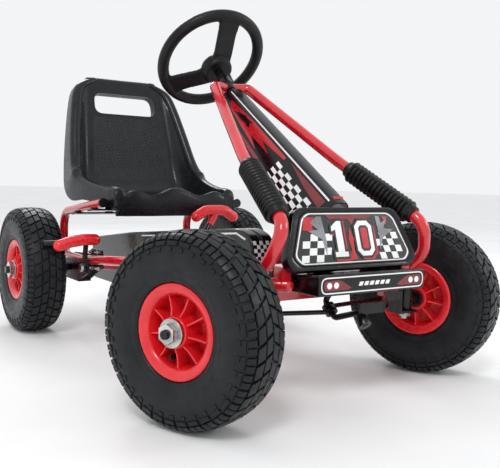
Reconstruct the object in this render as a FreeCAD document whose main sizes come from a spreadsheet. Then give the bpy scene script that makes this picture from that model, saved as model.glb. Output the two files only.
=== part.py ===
import FreeCAD, Part
import math
import os
import re
import Sketcher
from FreeCAD import Placement, Rotation, Vector

# Pedal go kart. The driver faces -Y, the driver's left is +X, the floor is z = 0.
# The kart is drawn with the front wheels turned to the left, as it is parked.

X_AXIS = Vector(1, 0, 0)
Y_AXIS = Vector(0, 1, 0)
Z_AXIS = Vector(0, 0, 1)
SIDES = (("left", 1), ("right", -1))

DIMENSIONS = [
    ("wheelbase", 670, "front axle to rear axle"),
    ("centre_y", 14.7, "middle of the wheelbase, measured from the middle of the outline"),
    ("track", 500, "distance between tyre middles on one axle"),
    ("axle_z", 129.4, "height of the wheel centres"),
    ("steer_rest", 21, "angle that the front wheels stand turned to the left"),
    ("tyre_radius", 130, "outside radius of a 4.10/3.50-4 tyre"),
    ("tyre_width", 80, "section width of the tyre"),
    ("tread_half", 31, "half width of the tread band"),
    ("tyre_wall", 7, "thickness of the tyre carcass"),
    ("rim_flange", 62.5, "radius of the rim flange"),
    ("rim_seat", 50.8, "radius of the bead seat, a 4 inch rim"),
    ("rim_half", 31.5, "half width over the rim flanges"),
    ("rim_wall", 4, "thickness of the rim moulding"),
    ("rib_count", 9, "ribs on each face of the rim"),
    ("hub_radius", 22, "radius of the hub boss"),
    ("hub_half", 34, "half length of the hub boss"),
    ("hub_bore", 10, "radius of the bore for the wheel bushes"),
    ("axle_radius", 6, "radius of the front stub axles"),
    ("rear_axle_radius", 7.5, "radius of the rear axle"),
    ("running_gap", 0.05, "radial play of a shaft in its bush"),
    ("tube_radius", 9.5, "outside radius of the frame tube"),
    ("tube_wall", 1.5, "wall of the frame tube"),
    ("rail_x", 157, "side rail, distance from the middle plane"),
    ("rail_low_z", 151, "side rail height beside the rear axle"),
    ("rail_front_x", 149, "side rail at its front bend, distance from the middle plane"),
    ("rail_front_z", 181, "side rail height at the front"),
    ("rail_back_y", 395, "upright part of the side rail"),
    ("seat_end_y", 165, "front end of the seat tube"),
    ("seat_end_z", 275, "height of the front end of the seat tube"),
    ("seat_tube_drop", 0.118, "fall of the seat tube towards the back"),
    ("bellows_outer", 18.5, "outside radius of the bellows"),
    ("bellows_root", 15.5, "radius at the bottom of a fold"),
    ("bellows_folds", 16, "folds of one bellows"),
    ("beam_top", 171.5, "top of the front beam"),
    ("beam_tall", 20, "height of the front beam"),
    ("beam_deep", 25, "depth of the front beam"),
    ("kingpin_x", 175, "kingpin, distance from the middle plane"),
    ("kingpin_radius", 5, "radius of the kingpin"),
    ("barrel_radius", 11.5, "radius of the knuckle barrel"),
    ("barrel_low", 116.4, "bottom of the knuckle barrel"),
    ("barrel_tall", 43.2, "height of the knuckle barrel"),
    ("arm_length", 36, "knuckle arm, kingpin to tie rod pin"),
    ("rod_radius", 3.5, "radius of the tie rods"),
    ("rod_z", 131, "height of the tie rods"),
    ("column_angle", 45.9, "tilt of the steering column from upright"),
    ("ring_y", 16.7, "centre of the steering wheel, from the middle of the wheelbase"),
    ("ring_z", 553.1, "height of the centre of the steering wheel"),
    ("ring_radius", 95.6, "steering wheel, centre to middle of the grip"),
    ("grip_radius", 11.1, "thickness radius of the steering wheel grip"),
    ("column_radius", 8, "radius of the steering column"),
    ("throw_radius", 4.5, "radius of the bent lower end of the column"),
    ("throw_offset", 36, "offset of the bent end from the column axis"),
    ("crank_y", -190, "pedal crank, from the middle of the wheelbase"),
    ("crank_z", 196, "height of the pedal crank"),
    ("crank_length", 85, "length of a pedal arm"),
    ("crank_turn", 35, "angle of the left pedal arm above level, pointing forward"),
    ("crank_radius", 7.5, "radius of the crank spindle"),
    ("front_teeth", 18, "teeth on the front sprocket"),
    ("rear_teeth", 14, "teeth on the rear sprocket"),
    ("chain_pitch", 12.7, "pitch of the chain"),
    ("chain_x", -52, "chain line"),
    ("guard_half", 22, "half width of the chain guard"),
    ("guard_wall", 2.2, "wall of the chain guard"),
    ("seat_wall", 5, "wall of the seat shell"),
]

doc = FreeCAD.newDocument("PedalKart")
sheet = doc.addObject("Spreadsheet::Sheet", "Dims")
for row, (alias, number, meaning) in enumerate(DIMENSIONS, start=1):
    sheet.set("A%d" % row, meaning)
    sheet.set("B%d" % row, str(number))
    sheet.setAlias("B%d" % row, alias)
doc.recompute()

ALIASES = {alias for alias, number, meaning in DIMENSIONS}
parts = []


def linked(text):
    """An expression over sheet aliases, in the form that setExpression takes."""
    return re.sub(r"[a-z]\w*", lambda m: "Dims." + m.group() if m.group() in ALIASES else m.group(), str(text))


def size(text):
    """The number that an expression over sheet aliases gives."""
    return float(sheet.evalExpression(linked(text)))


def keep(thing, label, placement=None):
    """Names a finished sub-part and moves it from wheelbase middle to the kart's own origin."""
    thing.Label = label
    shift = Placement(Vector(0, size("centre_y"), 0), Rotation())
    thing.Placement = shift.multiply(placement or thing.Placement)
    parts.append(thing)
    return thing


def bind(thing, **sizes):
    for name, text in sizes.items():
        thing.setExpression(name, linked(text))
    return thing


def turned(direction):
    return Rotation(Z_AXIS, direction)


def cylinder(name, radius, length, base, direction=Z_AXIS):
    rod = doc.addObject("Part::Cylinder", name)
    bind(rod, Radius=radius, Height=length)
    rod.Placement = Placement(base, turned(direction))
    return rod


def box(name, sides, corner, rotation=Rotation()):
    block = doc.addObject("Part::Box", name)
    bind(block, Length=sides[0], Width=sides[1], Height=sides[2])
    block.Placement = Placement(corner, rotation)
    return block


def hexagon(name, across, length, base, direction=Z_AXIS):
    """A nut or a bolt head."""
    prism = doc.addObject("Part::Prism", name)
    prism.Polygon = 6
    bind(prism, Circumradius="%s / 1.7320508" % across, Height=length)
    prism.Placement = Placement(base, turned(direction))
    return prism


def fused(name, pieces):
    union = doc.addObject("Part::MultiFuse", name)
    union.Shapes = pieces
    return union


def cut(name, base, tool):
    result = doc.addObject("Part::Cut", name)
    result.Base = base
    result.Tool = tool
    return result


def group(name, pieces):
    """Several separate solids of one kind in one object."""
    bundle = doc.addObject("Part::Compound", name)
    bundle.Links = pieces
    return bundle


def free_form(name, shape):
    thing = doc.addObject("Part::Feature", name)
    thing.Shape = shape
    return thing


# ---- sketches and PartDesign bodies ---------------------------------------------------------

def new_body(name):
    return doc.addObject("PartDesign::Body", name)


def new_sketch(body, name, plane="XZ_Plane"):
    sketch = body.newObject("Sketcher::SketchObject", name)
    origin_plane = [item for item in body.Origin.OriginFeatures if item.Role == plane][0]
    sketch.AttachmentSupport = [(origin_plane, "")]
    sketch.MapMode = "FlatFace"
    return sketch


def outline(sketch, corners):
    """A closed outline whose corners are placed by expressions over the sheet."""
    spots = [Vector(size(across), size(up), 0) for across, up in corners]
    for here, after in zip(spots, spots[1:] + spots[:1]):
        sketch.addGeometry(Part.LineSegment(here, after), False)
    count = len(corners)
    for index in range(count):
        sketch.addConstraint(Sketcher.Constraint("Coincident", index, 2, (index + 1) % count, 1))
    for index, (across, up) in enumerate(corners):
        for kind, text, place in (("DistanceX", across, spots[index].x), ("DistanceY", up, spots[index].y)):
            number = sketch.addConstraint(Sketcher.Constraint(kind, -1, 1, index, 1, place))
            sketch.setExpression("Constraints[%d]" % number, linked(text))


def revolved(name, corners, plane="XZ_Plane", axis="H_Axis"):
    """A turned part: the outline runs along the axis and outwards from it."""
    body = new_body(name)
    sketch = new_sketch(body, name + "_outline", plane)
    outline(sketch, corners)
    turn = body.newObject("PartDesign::Revolution", name + "_turn")
    turn.Profile = sketch
    turn.ReferenceAxis = (sketch, [axis])
    turn.Angle = 360
    return body


def extruded(name, corners, length, plane="XY_Plane"):
    body = new_body(name)
    sketch = new_sketch(body, name + "_outline", plane)
    outline(sketch, corners)
    pad = body.newObject("PartDesign::Pad", name + "_pad")
    pad.Profile = sketch
    pad.setExpression("Length", linked(length))
    return body


# ---- bent tubes --------------------------------------------------------------------------

def rounded_path(corners, radii):
    """Straight runs joined by tangent arcs, one radius for each inner corner."""
    edges = []
    start = corners[0]
    for index in range(1, len(corners) - 1):
        corner = corners[index]
        back = (corners[index - 1] - corner).normalize()
        ahead = (corners[index + 1] - corner).normalize()
        half_turn = (math.pi - back.getAngle(ahead)) / 2
        reach = radii[index - 1] * math.tan(half_turn)
        enter = corner + back * reach
        leave = corner + ahead * reach
        inward = (back + ahead).normalize()
        centre = corner + inward * (radii[index - 1] / math.cos(half_turn))
        middle = centre - inward * radii[index - 1]
        edges.append(Part.LineSegment(start, enter).toShape())
        edges.append(Part.Arc(enter, middle, leave).toShape())
        start = leave
    edges.append(Part.LineSegment(start, corners[-1]).toShape())
    return Part.Wire(edges)


def bar_along(path, radius):
    start = path.Edges[0].Vertexes[0].Point
    direction = path.Edges[0].tangentAt(path.Edges[0].FirstParameter)
    section = Part.Wire(Part.makeCircle(radius, start, direction))
    return path.makePipeShell([section], True, False)


def tube_along(path):
    return bar_along(path, size("tube_radius")).cut(bar_along(path, size("tube_radius - tube_wall")))


# ---- wheels --------------------------------------------------------------------------------

def make_tyre(name):
    """A C-section carcass about the X axis, flat where it stands on the floor."""
    half = "tyre_width / 2"
    tyre = revolved(name, [
        ("-tread_half", "tyre_radius"),
        ("tread_half", "tyre_radius"),
        (half + " - 2", "tyre_radius - 9"),
        (half, "tyre_radius - 30"),
        ("rim_half + 2", "rim_flange + 3"),
        ("rim_half", "rim_flange"),
        ("rim_half - rim_wall", "rim_flange"),
        ("rim_half - rim_wall", "rim_seat"),
        ("rim_half - rim_wall - 9", "rim_seat"),
        ("rim_half - rim_wall - 9", "rim_flange"),
        (half + " - tyre_wall", "tyre_radius - 32"),
        ("tread_half - 4", "tyre_radius - tyre_wall - 2"),
        ("-tread_half + 4", "tyre_radius - tyre_wall - 2"),
        ("-tyre_width / 2 + tyre_wall", "tyre_radius - 32"),
        ("-rim_half + rim_wall + 9", "rim_flange"),
        ("-rim_half + rim_wall + 9", "rim_seat"),
        ("-rim_half + rim_wall", "rim_seat"),
        ("-rim_half + rim_wall", "rim_flange"),
        ("-rim_half", "rim_flange"),
        ("-rim_half - 2", "rim_flange + 3"),
        ("-tyre_width / 2", "tyre_radius - 30"),
        ("-tyre_width / 2 + 2", "tyre_radius - 9"),
    ])
    return tyre


def make_rim(name, bore):
    """One moulding: barrel with two flanges, hub boss, web and a ring of ribs."""
    rim = new_body(name)
    shell = new_sketch(rim, name + "_section")
    outline(shell, [
        ("-rim_half", "rim_flange"),
        ("-rim_half + rim_wall", "rim_flange"),
        ("-rim_half + rim_wall", "rim_seat"),
        ("rim_half - rim_wall", "rim_seat"),
        ("rim_half - rim_wall", "rim_flange"),
        ("rim_half", "rim_flange"),
        ("rim_half", "rim_seat - 2"),
        ("rim_half - 8", "rim_seat - rim_wall"),
        ("rim_wall / 2", "rim_seat - rim_wall"),
        ("rim_wall / 2", "hub_radius"),
        ("hub_half", "hub_radius - 2"),
        ("hub_half", bore),
        ("-hub_half", bore),
        ("-hub_half", "hub_radius - 2"),
        ("-rim_wall / 2", "hub_radius"),
        ("-rim_wall / 2", "rim_seat - rim_wall"),
        ("-rim_half + 8", "rim_seat - rim_wall"),
        ("-rim_half", "rim_seat - 2"),
    ])
    turn = rim.newObject("PartDesign::Revolution", name + "_turn")
    turn.Profile = shell
    turn.ReferenceAxis = (shell, ["H_Axis"])
    turn.Angle = 360
    rib_sketch = new_sketch(rim, name + "_rib_outline", "XZ_Plane")
    outline(rib_sketch, [
        ("-rim_half + 5", "rim_seat - rim_wall + 1"),
        ("rim_half - 5", "rim_seat - rim_wall + 1"),
        ("rim_half - 8", "hub_radius - 3"),
        ("-rim_half + 8", "hub_radius - 3"),
    ])
    rib = rim.newObject("PartDesign::Pad", name + "_rib")
    rib.Profile = rib_sketch
    rib.Length = 3.2
    rib.Midplane = True
    doc.recompute()
    ribs = rim.newObject("PartDesign::PolarPattern", name + "_ribs")
    ribs.Originals = [rib]
    ribs.Axis = ([item for item in rim.Origin.OriginFeatures if item.Role == "X_Axis"][0], [""])
    ribs.Angle = 360
    ribs.setExpression("Occurrences", linked("rib_count"))
    rim.Tip = ribs
    return rim


def wheel_bushes(name, shaft, places):
    """Flanged bushes pressed into the ends of a hub, on an X axis through the local origin."""
    pieces = []
    for index, (inner_end, outward) in enumerate(places):
        bush = revolved("%s_%d" % (name, index), [
            (inner_end, shaft + " + running_gap"),
            (inner_end, "hub_bore"),
            ("%s + %d * 14" % (inner_end, outward), "hub_bore"),
            ("%s + %d * 14" % (inner_end, outward), "hub_bore + 4"),
            ("%s + %d * 16.5" % (inner_end, outward), "hub_bore + 4"),
            ("%s + %d * 16.5" % (inner_end, outward), shaft + " + running_gap"),
        ])
        pieces.append(bush)
    return group(name, pieces)


def hub_nut(name, shaft, start, outward):
    """Washer and nut on the end of an axle, at x = start in the wheel's frame."""
    across = "4 * " + shaft
    direction = Vector(outward, 0, 0)
    disc = cylinder(name + "_disc", "19", "2.5", Vector(start, 0, 0), direction)
    disc_hole = cylinder(name + "_disc_hole", shaft + " + running_gap", "3.5", Vector(start - outward * 0.5, 0, 0), direction)
    washer = cut(name + "_washer", disc, disc_hole)
    nut_base = Vector(start + outward * 2.5, 0, 0)
    nut_body = hexagon(name + "_hex", across, "9", nut_base, direction)
    nut_hole = cylinder(name + "_hole", shaft + " + running_gap", "11", nut_base - direction, direction)
    return [washer, cut(name + "_nut", nut_body, nut_hole)]


def wheel_place(side, front):
    """Wheel centre and heading: the front wheels stand turned about their kingpins."""
    if not front:
        return Placement(Vector(side * size("track / 2"), size("wheelbase / 2"), size("axle_z")), Rotation())
    heading = Rotation(Z_AXIS, size("steer_rest"))
    stub = heading.multVec(Vector(side * size("track / 2 - kingpin_x"), 0, 0))
    kingpin = Vector(side * size("kingpin_x"), -size("wheelbase / 2"), size("axle_z"))
    return Placement(kingpin + stub, heading)


for side_name, side in SIDES:
    for end_name, front in (("front", True), ("rear", False)):
        name = "%s_%s" % (end_name, side_name)
        spot = wheel_place(side, front)
        carcass = make_tyre(name + "_carcass")
        floor_block = box(name + "_floor", ("300", "300", "5"), Vector(-150, -150, -size("axle_z") - 5))
        keep(cut(name + "_flat", carcass, floor_block), "tyre_" + name, spot)
        bore = "hub_bore" if front else "rear_axle_radius"
        keep(make_rim(name + "_rim", bore), "rim_" + name, spot)
        if front:
            bushes = wheel_bushes(name + "_bushes", "axle_radius", (("20", 1), ("-20", -1)))
            keep(bushes, "wheel_bushes_" + side_name, spot)
            nuts = hub_nut(name + "_hub", "axle_radius", side * 36.8, side)
            keep(group(name + "_nut_set", nuts), "hub_nut_" + name, spot)

nut_pairs = []
for side_name, side in SIDES:
    nut_pairs += hub_nut("rear_hub_" + side_name, "rear_axle_radius", side * 34.3, side)
    for piece in nut_pairs[-2:]:
        piece.Placement = Placement(wheel_place(side, False).Base, Rotation())
keep(group("rear_hub_nut_set", nut_pairs), "rear_hub_nuts")

# ---- front beam, yokes, kingpins and knuckles -------------------------------------------------

FRONT_Y = -size("wheelbase / 2")
BEAM_LOW = size("beam_top - beam_tall")
YOKE_X = 150
YOKE_PLATE = 4

beam = box("beam_tube", ("%d" % (2 * YOKE_X), "beam_deep", "beam_tall"),
           Vector(-YOKE_X, FRONT_Y - size("beam_deep / 2"), BEAM_LOW))
beam_parts = [beam]
for side_name, side in SIDES:
    beam_parts.append(box("beam_block_" + side_name, ("24", "beam_deep", "10.5"),
                          Vector(side * 136 - 12, FRONT_Y - size("beam_deep / 2"), BEAM_LOW - 10.5)))
keep(fused("front_beam_weld", beam_parts), "front_beam")

kingpin_set = []
for side_name, side in SIDES:
    left_x = {1: YOKE_X, -1: -YOKE_X - YOKE_PLATE}[side]
    plate_x = {1: YOKE_X, -1: -YOKE_X - 40}[side]
    low_z = size("barrel_low") - 0.4 - YOKE_PLATE
    high_z = size("barrel_low + barrel_tall") + 0.4
    web = box("yoke_web_" + side_name, ("%d" % YOKE_PLATE, "27", "beam_top - %g" % low_z),
              Vector(left_x, FRONT_Y - 15, low_z))
    low = box("yoke_low_" + side_name, ("40", "30", "%d" % YOKE_PLATE), Vector(plate_x, FRONT_Y - 15, low_z))
    high = box("yoke_high_" + side_name, ("40", "30", "%d" % YOKE_PLATE), Vector(plate_x, FRONT_Y - 15, high_z))
    yoke_hole = cylinder("yoke_hole_" + side_name, "kingpin_radius", "80",
                         Vector(side * size("kingpin_x"), FRONT_Y, 100))
    keep(cut("yoke_drilled_" + side_name, fused("yoke_weld_" + side_name, [web, low, high]), yoke_hole),
         "axle_yoke_" + side_name)
    pin_low = Vector(side * size("kingpin_x"), FRONT_Y, low_z - 11)
    pin = cylinder("kingpin_rod_" + side_name, "kingpin_radius", "%g" % (high_z + YOKE_PLATE - pin_low.z), pin_low)
    head = hexagon("kingpin_head_" + side_name, "17", "6",
                   Vector(side * size("kingpin_x"), FRONT_Y, high_z + YOKE_PLATE))
    nut = hexagon("kingpin_nut_" + side_name, "17", "7",
                  Vector(side * size("kingpin_x"), FRONT_Y, low_z - 7))
    kingpin_set.append(fused("kingpin_bolt_" + side_name, [pin, head, nut]))
keep(group("kingpin_group", kingpin_set), "kingpins")


def make_knuckle(side_name, side):
    """Barrel, stub axle and backward steering arm, about the kingpin axis."""
    name = "knuckle_" + side_name
    barrel = cylinder(name + "_barrel", "barrel_radius", "barrel_tall", Vector(0, 0, size("barrel_low")))
    outward = Vector(side, 0, 0)
    hub_face = size("track / 2 - kingpin_x") - 36.8
    shoulder = cylinder(name + "_shoulder", "axle_radius + 3", "%g" % hub_face,
                        Vector(0, 0, size("axle_z")), outward)
    stub = cylinder(name + "_stub", "axle_radius", "track / 2 - kingpin_x + 52",
                    Vector(0, 0, size("axle_z")), outward)
    arm = box(name + "_arm", ("16", "arm_length", "5"), Vector(-8, 0, 119))
    arm_eye = cylinder(name + "_arm_eye", "8", "5", Vector(0, size("arm_length"), 119))
    solid = fused(name + "_weld", [barrel, shoulder, stub, arm, arm_eye])
    pin_bore = cylinder(name + "_bore", "kingpin_radius + running_gap", "80", Vector(0, 0, 100))
    rod_bore = cylinder(name + "_rod_bore", "rod_radius + running_gap", "20",
                        Vector(0, size("arm_length"), 110))
    drilled = cut(name + "_drilled", solid, fused(name + "_bores", [pin_bore, rod_bore]))
    spot = Placement(Vector(side * size("kingpin_x"), FRONT_Y, 0), Rotation(Z_AXIS, size("steer_rest")))
    keep(drilled, "steering_knuckle_" + side_name, spot)


for side_name, side in SIDES:
    make_knuckle(side_name, side)

# ---- steering column, wheel and tie rods -------------------------------------------------------

COLUMN = Placement(Vector(0, size("ring_y"), size("ring_z")), Rotation(X_AXIS, -size("column_angle")))
THROW_TOP = -549
THROW_LOW = -580
EYE_PLACES = {"left": -559.5, "right": -569.5}
throw = Rotation(Z_AXIS, size("steer_rest")).multVec(Vector(0, size("throw_offset"), 0))

bent_end = bar_along(rounded_path([
    Vector(0, 0, -495),
    Vector(0, 0, THROW_TOP + 14),
    throw + Vector(0, 0, THROW_TOP),
    throw + Vector(0, 0, THROW_LOW),
    Vector(0, 0, THROW_LOW - 17),
    Vector(0, 0, THROW_LOW - 41),
], [8, 8, 8, 8]), size("throw_radius"))
column_bar = cylinder("column_bar", "column_radius", "470", Vector(0, 0, -500))
column_end = free_form("column_end", bent_end)
keep(fused("column_weld", [column_bar, column_end]), "steering_column", COLUMN)


def make_steering_wheel():
    """Ring, dished hub and three flat spokes, in the plane of the ring."""
    ring = doc.addObject("Part::Torus", "wheel_ring")
    bind(ring, Radius1="ring_radius", Radius2="grip_radius")
    hub = cylinder("wheel_hub", "27", "24", Vector(0, 0, -40))
    pieces = [ring, hub]
    for index, angle in enumerate((-90, 45, 135)):
        lean = Rotation(Z_AXIS, angle).multiply(Rotation(Y_AXIS, -13))
        corner = lean.multVec(Vector(12, -19, -5)) + Vector(0, 0, -24)
        pieces.append(box("wheel_spoke_%d" % index, ("ring_radius - 16", "38", "8"), corner, lean))
    bore = cylinder("wheel_bore", "column_radius", "22", Vector(0, 0, -52))
    return cut("steering_wheel_moulding", fused("wheel_weld", pieces), bore)


keep(make_steering_wheel(), "steering_wheel", COLUMN)
cap = revolved("wheel_cap", [("0", "-16"), ("19", "-16"), ("18", "-12"), ("12", "-9"), ("0", "-8")], axis="V_Axis")
keep(cap, "steering_wheel_cap", COLUMN)

head_outer = cylinder("head_outer", "12", "36", Vector(0, 0, -97))
head_inner = cylinder("head_inner", "10", "40", Vector(0, 0, -99))
keep(cut("head_pipe", head_outer, head_inner), "head_tube", COLUMN)
head_bush_pair = []
for index, (start, outward) in enumerate(((-61, 1), (-97, -1))):
    head_bush_pair.append(revolved("head_bush_%d" % index, [
        ("column_radius + running_gap", "%d" % (start - 12 * outward)),
        ("10", "%d" % (start - 12 * outward)),
        ("10", "%d" % start),
        ("12", "%d" % start),
        ("12", "%d" % (start + 2 * outward)),
        ("column_radius + running_gap", "%d" % (start + 2 * outward)),
    ], axis="V_Axis"))
head_bush_group = group("head_bush_group", head_bush_pair)
head_bush_group.Placement = COLUMN


def make_tie_rod(side_name, side):
    """Thin rod from an eye on the bent column end to a hooked end in the knuckle arm."""
    heading = Rotation(Z_AXIS, size("steer_rest"))
    arm_pin = Vector(side * size("kingpin_x"), FRONT_Y, 0) + heading.multVec(Vector(0, size("arm_length"), 0))
    eye_place = COLUMN.multVec(throw + Vector(0, 0, EYE_PLACES[side_name]))
    knee = Vector(arm_pin.x, arm_pin.y, size("rod_z"))
    along = (knee - eye_place).normalize()
    start = eye_place + along * 7.5
    tail = Vector(knee.x, knee.y, 112)
    rod = bar_along(rounded_path([start, knee, tail], [5.5]), size("rod_radius"))
    rod_piece = free_form("tie_rod_bar_" + side_name, rod)
    stop = cylinder("tie_rod_stop_" + side_name, "rod_radius + 3", "2", Vector(tail.x, tail.y, 115))
    eye_axis = COLUMN.Rotation.multVec(Z_AXIS)
    ring = cylinder("tie_rod_ring_" + side_name, "throw_radius + 5", "5", eye_place - eye_axis * 2.5, eye_axis)
    hole = cylinder("tie_rod_hole_" + side_name, "throw_radius + 1.4", "40", eye_place - eye_axis * 20, eye_axis)
    keep(cut("tie_rod_cut_" + side_name, fused("tie_rod_weld_" + side_name, [rod_piece, stop, ring]), hole),
         "tie_rod_" + side_name)


for side_name, side in SIDES:
    make_tie_rod(side_name, side)

eye_spot = Vector(0, 0, THROW_LOW - 33)
bracket_eye = cylinder("bracket_eye", "throw_radius + 5", "14", COLUMN.multVec(eye_spot) - COLUMN.Rotation.multVec(Z_AXIS) * 7,
                       COLUMN.Rotation.multVec(Z_AXIS))
bracket_line = [Vector(0, -417, 0), Vector(44, -417, 0), Vector(116, -350, 0), Vector(145.5, -350, 0)]


def flat_bar(name, line, low, high, thickness):
    """An upright strip that follows a line of points seen from above."""
    pieces = []
    for index in range(len(line) - 1):
        run = line[index + 1] - line[index]
        turn = Rotation(X_AXIS, run)
        corner = line[index] + turn.multVec(Vector(-thickness / 2, -thickness / 2, 0)) + Vector(0, 0, low)
        pieces.append(box("%s_%d" % (name, index), ("%g" % (run.Length + thickness), "%g" % thickness,
                                                    "%g" % (high - low)), corner, turn))
    return pieces


bracket_bar = flat_bar("bracket_bar", bracket_line, 136, 151, 5)
bracket_hole = cylinder("bracket_hole", "throw_radius + running_gap", "60",
                        COLUMN.multVec(eye_spot) - COLUMN.Rotation.multVec(Z_AXIS) * 30,
                        COLUMN.Rotation.multVec(Z_AXIS))
keep(cut("bracket_drilled", fused("bracket_weld", [bracket_eye] + bracket_bar), bracket_hole), "column_lower_bracket")

# ---- side tubes -------------------------------------------------------------------------------

head_solid = Part.makeCylinder(12, 60, COLUMN.multVec(Vector(0, 0, -109)), COLUMN.Rotation.multVec(Z_AXIS))
SEAT_FALL = size("seat_tube_drop")
TUBE_R = size("tube_radius")


def rail_path(side):
    back_y = size("rail_back_y")
    seat_y, seat_z = size("seat_end_y"), size("seat_end_z")
    rail_x = side * size("rail_x")
    low_z, front_z = size("rail_low_z"), size("rail_front_z")
    return rounded_path([
        Vector(rail_x, seat_y, seat_z),
        Vector(rail_x, back_y, seat_z - SEAT_FALL * (back_y - seat_y)),
        Vector(rail_x, back_y, low_z),
        Vector(rail_x, 275, low_z),
        Vector(rail_x, -80, front_z),
        Vector(side * size("rail_front_x"), -352, front_z),
        Vector(side * 111, -389, front_z),
    ], [40, 38, 200, 250, 28])


def upper_straight(side):
    """Ends of the straight run that carries the bellows."""
    return Vector(side * 95, -250, 358), Vector(side * 133, -410, 264)


def upper_path(side):
    top_bend, foot_bend = upper_straight(side)
    return rounded_path([
        Vector(side * 4, -46, 491),
        Vector(side * 36, -58, 493),
        top_bend,
        foot_bend,
        Vector(side * 147, -398, 216),
        Vector(side * 150, -350, 181),
    ], [15, 400, 30, 40])


for side_name, side in SIDES:
    rail_solid = bar_along(rail_path(side), TUBE_R)
    tip = Part.makeSphere(TUBE_R, Vector(side * 111, -389, size("rail_front_z")))
    rail = tube_along(rail_path(side)).fuse(tip)
    upper = tube_along(upper_path(side)).cut(head_solid).cut(rail_solid)
    keep(free_form("rail_" + side_name, rail), "side_rail_" + side_name)
    keep(free_form("upper_" + side_name, upper), "upper_tube_" + side_name)

plug_set = []
for side_name, side in SIDES:
    tube_direction = Vector(0, -1, SEAT_FALL).normalize()
    plug_start = Vector(side * size("rail_x"), size("seat_end_y"), size("seat_end_z"))
    dome = cylinder("plug_rim_" + side_name, "tube_radius", "5", plug_start, tube_direction)
    spigot = cylinder("plug_spigot_" + side_name, "tube_radius - tube_wall", "12", plug_start, tube_direction * -1)
    plug_set.append(fused("plug_" + side_name, [dome, spigot]))
keep(group("plug_group", plug_set), "tube_end_plugs")


def make_bellows(side_name, side):
    """Ribbed rubber sleeve over the straight part of the upper tube."""
    top_bend, foot_bend = upper_straight(side)
    along = (foot_bend - top_bend).normalize()
    top = top_bend + along * 22.5
    length = 144.5
    folds = int(size("bellows_folds"))
    collar = 7.0
    pitch = (length - 2 * collar) / folds
    inner, root, crest = TUBE_R, size("bellows_root"), size("bellows_outer")
    corners = [Vector(inner, 0, 0), Vector(13.5, 0, 0), Vector(13.5, 0, collar)]
    for fold in range(folds):
        low = collar + fold * pitch
        corners.append(Vector(root, 0, low))
        corners.append(Vector(crest, 0, low + pitch * 0.3))
        corners.append(Vector(crest, 0, low + pitch * 0.7))
    corners += [Vector(root, 0, length - collar), Vector(13.5, 0, length - collar), Vector(13.5, 0, length)]
    corners += [Vector(inner, 0, length), Vector(inner, 0, 0)]
    shape = Part.Face(Part.makePolygon(corners)).revolve(Vector(0, 0, 0), Z_AXIS, 360)
    sleeve = free_form("bellows_sleeve_" + side_name, shape)
    keep(sleeve, "bellows_" + side_name, Placement(top, turned(along)))


for side_name, side in SIDES:
    make_bellows(side_name, side)

# ---- centre tube, crank housing and rear cross tube ----------------------------------------

CRANK = Vector(0, size("crank_y"), size("crank_z"))
REAR_Y = size("wheelbase / 2")
AXLE = Vector(0, REAR_Y, size("axle_z"))
FRONT_BACK = FRONT_Y + size("beam_deep / 2")
CROSS_Y = 290

centre_outer = box("centre_outer", ("30", "%g" % (276 - FRONT_BACK), "26"), Vector(0, FRONT_BACK, 150))
centre_inner = box("centre_inner", ("27", "%g" % (276 - FRONT_BACK), "23"), Vector(1.5, FRONT_BACK + 1.5, 151.5))
centre_plate = box("centre_plate", ("46", "4.5", "52"), Vector(-8, 276, 125))
centre_pipe = cut("centre_pipe", centre_outer, centre_inner)
guard_tab = box("guard_tab", ("30", "18", "4"), Vector(-30, 60, 165))
housing_outer = cylinder("housing_outer", "21", "86.8", Vector(-27.6, CRANK.y, CRANK.z), X_AXIS)
housing_inner = cylinder("housing_inner", "11", "100", Vector(-35, CRANK.y, CRANK.z), X_AXIS)
centre_weld = fused("centre_weld", [centre_pipe, centre_plate, guard_tab, housing_outer])
keep(cut("centre_frame", centre_weld, housing_inner), "centre_tube")

crank_bush_pair = []
for index, (start, outward) in enumerate(((59.2, 1), (-27.6, -1))):
    crank_bush_pair.append(revolved("crank_bush_%d" % index, [
        ("%g" % (start - 14 * outward), "crank_radius + running_gap"),
        ("%g" % (start - 14 * outward), "11"),
        ("%g" % start, "11"),
        ("%g" % start, "14"),
        ("%g" % (start + 2 * outward), "14"),
        ("%g" % (start + 2 * outward), "crank_radius + running_gap"),
    ]))

crank_bush_group = group("crank_bush_group", crank_bush_pair)
crank_bush_group.Placement = Placement(CRANK, Rotation())

cross_outer = cylinder("cross_outer", "tube_radius", "287", Vector(-143.5, CROSS_Y, 134), X_AXIS)
cross_inner = cylinder("cross_inner", "tube_radius - tube_wall", "290", Vector(-145, CROSS_Y, 134), X_AXIS)
keep(cut("cross_pipe", cross_outer, cross_inner), "rear_cross_tube")

# ---- rear axle brackets ---------------------------------------------------------------------

INNER_PLATE = [(354, 110), (354, 160), (255, 165), (248, 177), (196, 177), (190, 168), (190, 140), (262, 110)]
OUTER_PLATE = [(354, 110), (354, 147), (300, 150), (214, 150), (208, 140), (214, 128), (262, 110)]


def plate_across_x(name, outline_yz, low_x, thickness):
    """A flat plate in an upright plane along the kart, from low_x towards +X."""
    corners = [Vector(low_x, y, z) for y, z in outline_yz]
    face = Part.Face(Part.makePolygon(corners + corners[:1]))
    return free_form(name, face.extrude(Vector(thickness, 0, 0)))


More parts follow.
